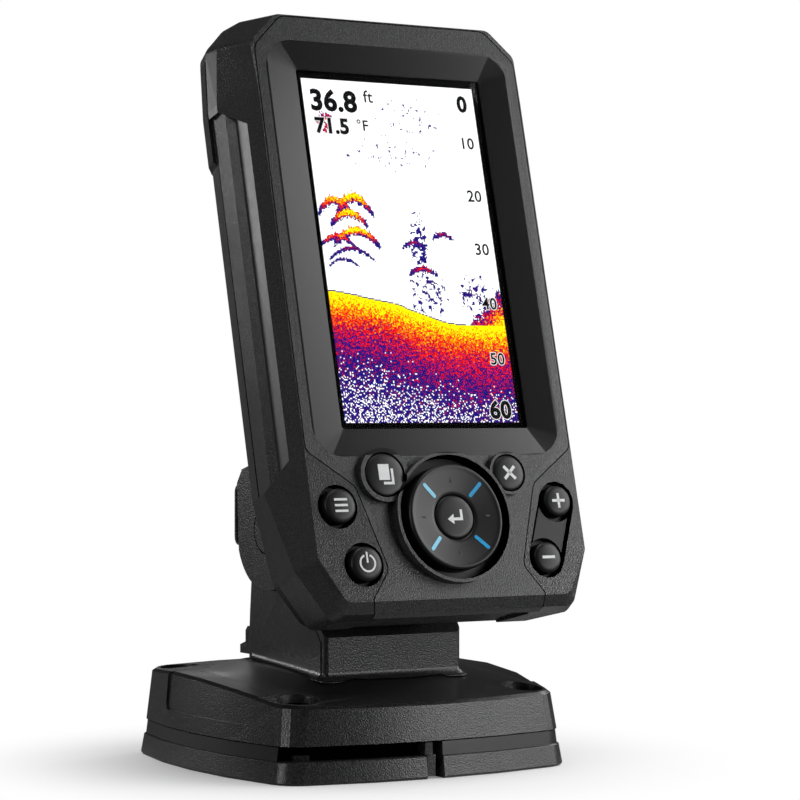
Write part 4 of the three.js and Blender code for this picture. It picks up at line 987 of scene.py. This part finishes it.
def sonarPicture(look):
    material, tree, shader = newMaterial("sonarPicture")
    flat = addNode(tree, "SeparateXYZ", {}, {"Vector": addNode(tree, "TexCoord").outputs["UV"]})
    across = snapped(tree, flat.outputs["X"], look["columns"])
    up = snapped(tree, flat.outputs["Y"], look["rows"])
    spot = addNode(
        tree, "CombineXYZ", {}, {"X": across, "Y": times(tree, up, look["height"] / look["width"])}
    ).outputs[0]
    speck = addNode(tree, "TexWhiteNoise", {}, {"Vector": spot}, noise_dimensions="2D").outputs["Value"]
    noise = {}
    for name, (scale, detail, roughness) in look["noise"].items():
        values = {"Scale": scale, "Detail": detail, "Roughness": roughness}
        noise[name] = addNode(
            tree, "TexNoise", values, {"Vector": spot}, noise_dimensions="2D"
        ).outputs["Fac"]
    grit, field, wave = noise["grit"], noise["field"], noise["wave"]

    # seabed: strong echo at the top, fading and scattering with depth
    sea = look["bed"]
    slope = ranged(tree, across, *sea["slope"], 0.0, sea["drop"], smooth=True)
    waves = scaled(tree, wave, sea["wave"], -sea["wave"] / 2)
    top = plus(tree, minus(tree, sea["left"], slope), waves)
    depth = minus(tree, top, up)
    under = calc(tree, "GREATER_THAN", depth, 0.0)
    fade = calc(tree, "POWER", math.e, times(tree, depth, -sea["fade"]))
    bed = scaled(tree, fade, sea["strong"], sea["floor"])
    loose = scaled(tree, fade, -sea["tighter"], sea["loose"])
    gritty = times(tree, minus(tree, grit, 0.5), sea["gritty"])
    mess = scaled(tree, minus(tree, speck, 0.5), loose, gritty)
    bed = times(tree, plus(tree, bed, mess), under)
    near = calc(tree, "LESS_THAN", calc(tree, "ABSOLUTE", depth), sea["line"])
    line = times(tree, near, sea["lineLevel"])

    # rock against the right edge
    stone = look["rock"]
    heap = ranged(tree, across, stone["from"], 1.0, stone["low"], stone["high"])
    heap = plus(tree, heap, scaled(tree, field, stone["rough"], -stone["sink"]))
    above = minus(tree, up, top)
    rock = times(tree, calc(tree, "LESS_THAN", above, heap), minus(tree, 1.0, under))
    core = times(tree, minus(tree, heap, above), stone["core"], clamp=True)
    core = scaled(tree, core, stone["gain"], -stone["base"])
    grain = scaled(tree, grit, 0.9, scaled(tree, speck, 0.3, core))
    rock = times(tree, rock, grain)

    signal = calc(tree, "MAXIMUM", calc(tree, "MAXIMUM", bed, line), rock)
    rough = scaled(tree, grit, 1.0, -0.5)
    for middle, height, reach, drop, thick, strength in look["arches"]:
        values = {
            "Middle": middle, "Height": height, "Reach": reach, "Drop": drop, "Thick": thick,
            "Strength": strength,
        }
        echo = placeGroup(tree, archEcho, values, {"Across": across, "Up": up, "Rough": rough})["Echo"]
        echo = times(tree, echo, scaled(tree, speck, 0.3, 0.86))
        signal = calc(tree, "MAXIMUM", signal, echo)
    for middle, height, wide, tall, share, strength in look["clouds"]:
        values = {
            "Middle": middle, "Height": height, "Wide": wide, "Tall": tall, "Share": share,
            "Strength": strength,
        }
        echo = placeGroup(tree, cloudEcho, values, {"Across": across, "Up": up, "Field": field})["Echo"]
        echo = times(tree, echo, scaled(tree, speck, 0.5, 0.75))
        signal = calc(tree, "MAXIMUM", signal, echo)

    ramp = tree.nodes.new("ShaderNodeValToRGB")
    ramp.color_ramp.interpolation = "CONSTANT"
    stops = ramp.color_ramp.elements
    for i, (level, colour) in enumerate(look["palette"]):
        stop = stops[i] if i < 2 else stops.new(level)
        stop.position = level
        stop.color = (*colour, 1)
    tree.links.new(signal, ramp.inputs["Fac"])
    dots = scaled(tree, speck, 0.03, look["brightness"] - 0.03)
    lit = mixColour(tree, 1.0, ramp.outputs["Color"], greyOf(tree, dots), "MULTIPLY")
    tree.links.new(lit, shader.inputs["Emission Color"])
    shader.inputs["Emission Strength"].default_value = 1.0
    tree.links.new(
        mixColour(tree, look["bodyTint"], (0.002, 0.002, 0.002, 1), lit), shader.inputs["Base Color"]
    )
    shader.inputs["Roughness"].default_value = 0.9
    shader.inputs["Specular IOR Level"].default_value = 0.0
    return material


def litPanel(look, material):
    half, height, low, high = look["width"] / 2, look["height"], look["back"], look["face"]
    corners = [(-half, 0), (half, 0), (half, height), (-half, height)]
    mesh = outlineMesh("lit_panel", corners, low, high, onScreen(0, 0, 0))
    layer = mesh.uv_layers.new(name="UVMap")
    back = onScreen(0, 0, 0).inverted()
    for loop in mesh.loops:
        place = back @ mesh.vertices[loop.vertex_index].co / mm
        layer.data[loop.index].uv = ((place.x + half) / look["width"], place.y / height)
    addPiece("lit_panel", mesh, material, "head")


litPanel(screenLook, sonarPicture(screenLook))

# Numbers on the screen: own readings, scale down the right edge
readings = {
    "ink": (0.004, 0.004, 0.005),
    "halo": (0.9, 0.9, 0.9),
    "haloBehind": 0.015,
    "haloWeight": 0.22,
    "items": [  # text, across, up, size, weight, halo
        ("36.8", -25.0, 86.3, 8.1, 0.32, False),
        ("ft", -8.3, 89.2, 4.9, 0.05, False),
        ("71.5", -24.4, 79.9, 5.9, 0.22, True),
        ("°F", -11.6, 81.0, 4.3, 0.05, False),
        ("0", 21.5, 88.2, 6.3, 0.26, False),
        ("10", 20.6, 77.4, 4.6, 0.07, False),
        ("20", 20.6, 62.2, 4.6, 0.07, False),
        ("30", 20.6, 47.0, 4.6, 0.07, False),
        ("40", 20.6, 31.6, 4.6, 0.07, True),
        ("50", 20.6, 16.1, 4.6, 0.07, True),
        ("60", 18.2, 1.2, 6.7, 0.26, True),
    ],
}


def litInk(name, colour):
    material, tree, shader = newMaterial(name)
    flat = objectPlace(tree)
    tone = addNode(tree, "TexNoise", {"Scale": 3000.0}, {"Vector": flat}).outputs["Fac"]
    tint = mixColour(tree, tone, shade(colour), shade(colour, 0.9))
    tree.links.new(tint, shader.inputs["Emission Color"])
    shader.inputs["Emission Strength"].default_value = 1.0
    shader.inputs["Base Color"].default_value = (0.002, 0.002, 0.002, 1)
    shader.inputs["Roughness"].default_value = 0.9
    shader.inputs["Specular IOR Level"].default_value = 0.0
    return material


def addText(name, text, u, v, size, weight, level, material):
    curve = bpy.data.curves.new(name, "FONT")
    curve.body = text
    curve.size = size
    curve.offset = weight
    curve.resolution_u = 3
    curve.space_character = 1.04
    holder = bpy.data.objects.new(name, curve)
    scene.collection.objects.link(holder)
    mesh = bpy.data.meshes.new_from_object(holder.evaluated_get(bpy.context.evaluated_depsgraph_get()))
    bpy.data.objects.remove(holder)
    mesh.transform(Matrix.Diagonal((mm, mm, mm, 1)))
    mesh.transform(onScreen(u, v, level))
    addPiece(name, mesh, material, "head")


def addReadings(look):
    dark = litInk("screenInk", look["ink"])
    pale = litInk("screenHalo", look["halo"])
    for i, (text, u, v, size, weight, halo) in enumerate(look["items"]):
        if halo:
            behind = screenLook["digits"] - look["haloBehind"]
            addText("reading_halo_%d" % (i + 1), text, u, v, size, weight + look["haloWeight"], behind, pale)
        addText("reading_%d" % (i + 1), text, u, v, size, weight, screenLook["digits"], dark)


addReadings(readings)


def clearLens():
    material, tree, shader = newMaterial("clearLens")
    place = objectPlace(tree)
    smear = addNode(
        tree, "TexNoise", {"Scale": 60.0, "Detail": 4.0, "Roughness": 0.7}, {"Vector": place}
    ).outputs["Fac"]
    tint = mixColour(tree, smear, (1, 1, 1, 1), (0.985, 0.99, 0.995, 1))
    tree.links.new(tint, shader.inputs["Base Color"])
    shader.inputs["Roughness"].default_value = 0.0
    shader.inputs["Metallic"].default_value = 0.0
    shader.inputs["Transmission Weight"].default_value = 1.0
    shader.inputs["IOR"].default_value = 1.12
    return material


def lacqueredBoard():
    material, tree, shader = newMaterial("lacqueredBoard")
    place = objectPlace(tree)
    greens = {
        "Color1": (0.012, 0.07, 0.03, 1), "Color2": (0.016, 0.085, 0.036, 1), "Mortar": (0.035, 0.14, 0.06, 1)
    }
    tracks = addNode(tree, "TexBrick", {"Scale": 260.0, "Mortar Size": 0.03, **greens}, {"Vector": place})
    pads = addNode(tree, "TexVoronoi", {"Scale": 420.0}, {"Vector": place}).outputs["Distance"]
    pads = ranged(tree, pads, 0.16, 0.13)
    tree.links.new(
        mixColour(tree, pads, tracks.outputs["Color"], (0.5, 0.45, 0.3, 1)), shader.inputs["Base Color"]
    )
    tree.links.new(scaled(tree, pads, 0.15, 0.28), shader.inputs["Roughness"])
    return material


maskLook = {
    "colour": (0.001, 0.001, 0.001), "roughness": 0.8, "specular": 0.0, "grainScale": 5200.0,
    "grainDepth": 0.01, "bump": 0.1, "dust": 0.0, "wear": 0.0,
}
dress("screen_lens", clearLens(), 0.08)
dress("lcd_module", mouldedPlastic("screenMask", maskLook), 0.2)
dress("main_board", lacqueredBoard(), 0.1)
print("screen made")

# Contact pins in the sockets
pinLook = {
    "sockets": (-15.0, 15.0), "up": 24.0, "back": -32.0, "count": 5,
    "circle": 3.1, "radius": 0.55, "reach": 4.6, "root": -1.2,
}
brass = metal("brassPins", {"colour": (0.62, 0.44, 0.18), "roughness": 0.26, "lines": (5200.0, 400.0, 400.0)})


def addPins(look):
    for s, u in enumerate(look["sockets"]):
        for i in range(look["count"]):
            angle = math.radians(90 + 360 * i / look["count"])
            at = (u + look["circle"] * math.cos(angle), look["up"] + look["circle"] * math.sin(angle))
            r, tip, root = look["radius"], -look["reach"], look["root"]
            profile = [(0, tip), (r * 0.55, tip), (r, tip + 0.5), (r, root), (0, root)]
            name = "socket_pin_%d_%d" % (s + 1, i + 1)
            addPiece(name, turnedMesh(name, profile, onScreen(*at, look["back"]), 16), brass, "head")


addPins(pinLook)

# Floor, backdrop and light
studio = {
    "floorColour": 0.95,
    "whiteFrom": 0.02,  # m from the middle, the floor turns plain white
    "whiteAt": 0.115,
    "floorGlow": 0.10,
    "worldLevel": 0.03,
    "aim": 0.1,  # m above the floor, the height that the lamps point at
    "lamps": [  # name, azimuth from the front, elevation, distance, width and height in m, power
        ("softTop", 20, 78, 1.2, 0.6, 0.6, 4.0),
        ("rightBox", 60, 18, 0.7, 0.46, 0.5, 4.2),
        ("frontLow", 31, 3, 0.8, 0.26, 0.12, 1.1),
        ("rearLeft", -147, 10, 1.2, 0.26, 0.3, 2.2),
        ("leftStrip", -84, 10, 1.2, 0.14, 0.6, 2.8),
        ("leftHigh", -54, 34, 1.2, 0.24, 0.24, 1.0),
        ("rearHigh", 156, 16, 1.2, 0.34, 0.26, 0.25),
        ("rearRight", 108, 26, 1.2, 0.3, 0.5, 2.6),
    ],
}


def seenDirectly(tree):
    rays = addNode(tree, "LightPath")
    return plus(tree, rays.outputs["Is Camera Ray"], rays.outputs["Is Transmission Ray"], clamp=True)


# The floor holds the shadow near the base and turns into the white backdrop further out
def addFloor(look):
    material, tree, shader = newMaterial("paleFloor")
    place = addNode(tree, "SeparateXYZ", {}, {"Vector": addNode(tree, "NewGeometry").outputs["Position"]})
    squares = [calc(tree, "POWER", place.outputs[axis], 2.0) for axis in "XY"]
    reach = calc(tree, "SQRT", plus(tree, *squares))
    away = ranged(tree, reach, look["whiteFrom"], look["whiteAt"], smooth=True)
    pale = shade((1, 1, 1), look["floorColour"])
    tree.links.new(mixColour(tree, away, pale, (0, 0, 0, 1)), shader.inputs["Base Color"])
    shader.inputs["Roughness"].default_value = 0.9
    shader.inputs["Specular IOR Level"].default_value = 0.0
    seen = seenDirectly(tree)
    glow = times(tree, away, calc(tree, "MAXIMUM", seen, look["floorGlow"]))
    tree.links.new(greyOf(tree, glow), shader.inputs["Emission Color"])
    shader.inputs["Emission Strength"].default_value = 1.0
    bpy.ops.mesh.primitive_plane_add(size=30, location=(0, 0, -0.0001))
    floor = bpy.context.object
    floor.name = "floor"
    floor.data.materials.append(material)


def addWorld(level):
    world = bpy.data.worlds.new("studio")
    scene.world = world
    world.use_nodes = True
    tree = world.node_tree
    tree.nodes.clear()
    strength = calc(tree, "MAXIMUM", seenDirectly(tree), level)
    backdrop = addNode(tree, "Background", {"Color": (1, 1, 1, 1)}, {"Strength": strength})
    addNode(tree, "OutputWorld", {}, {"Surface": backdrop.outputs[0]})


def addLamp(name, azimuth, elevation, away, wide, tall, power):
    data = bpy.data.lights.new(name, "AREA")
    data.shape = "RECTANGLE"
    data.size = wide
    data.size_y = tall
    data.energy = power
    lamp = bpy.data.objects.new(name, data)
    toward = heading(azimuth, elevation)
    lamp.location = toward * away + Vector((0, 0, studio["aim"]))
    lamp.rotation_euler = (-toward).to_track_quat("-Z", "Y").to_euler()
    scene.collection.objects.link(lamp)


addFloor(studio)
addWorld(studio["worldLevel"])
for lamp in studio["lamps"]:
    addLamp(*lamp)
scene.view_settings.view_transform = "Standard"
print("studio ready")
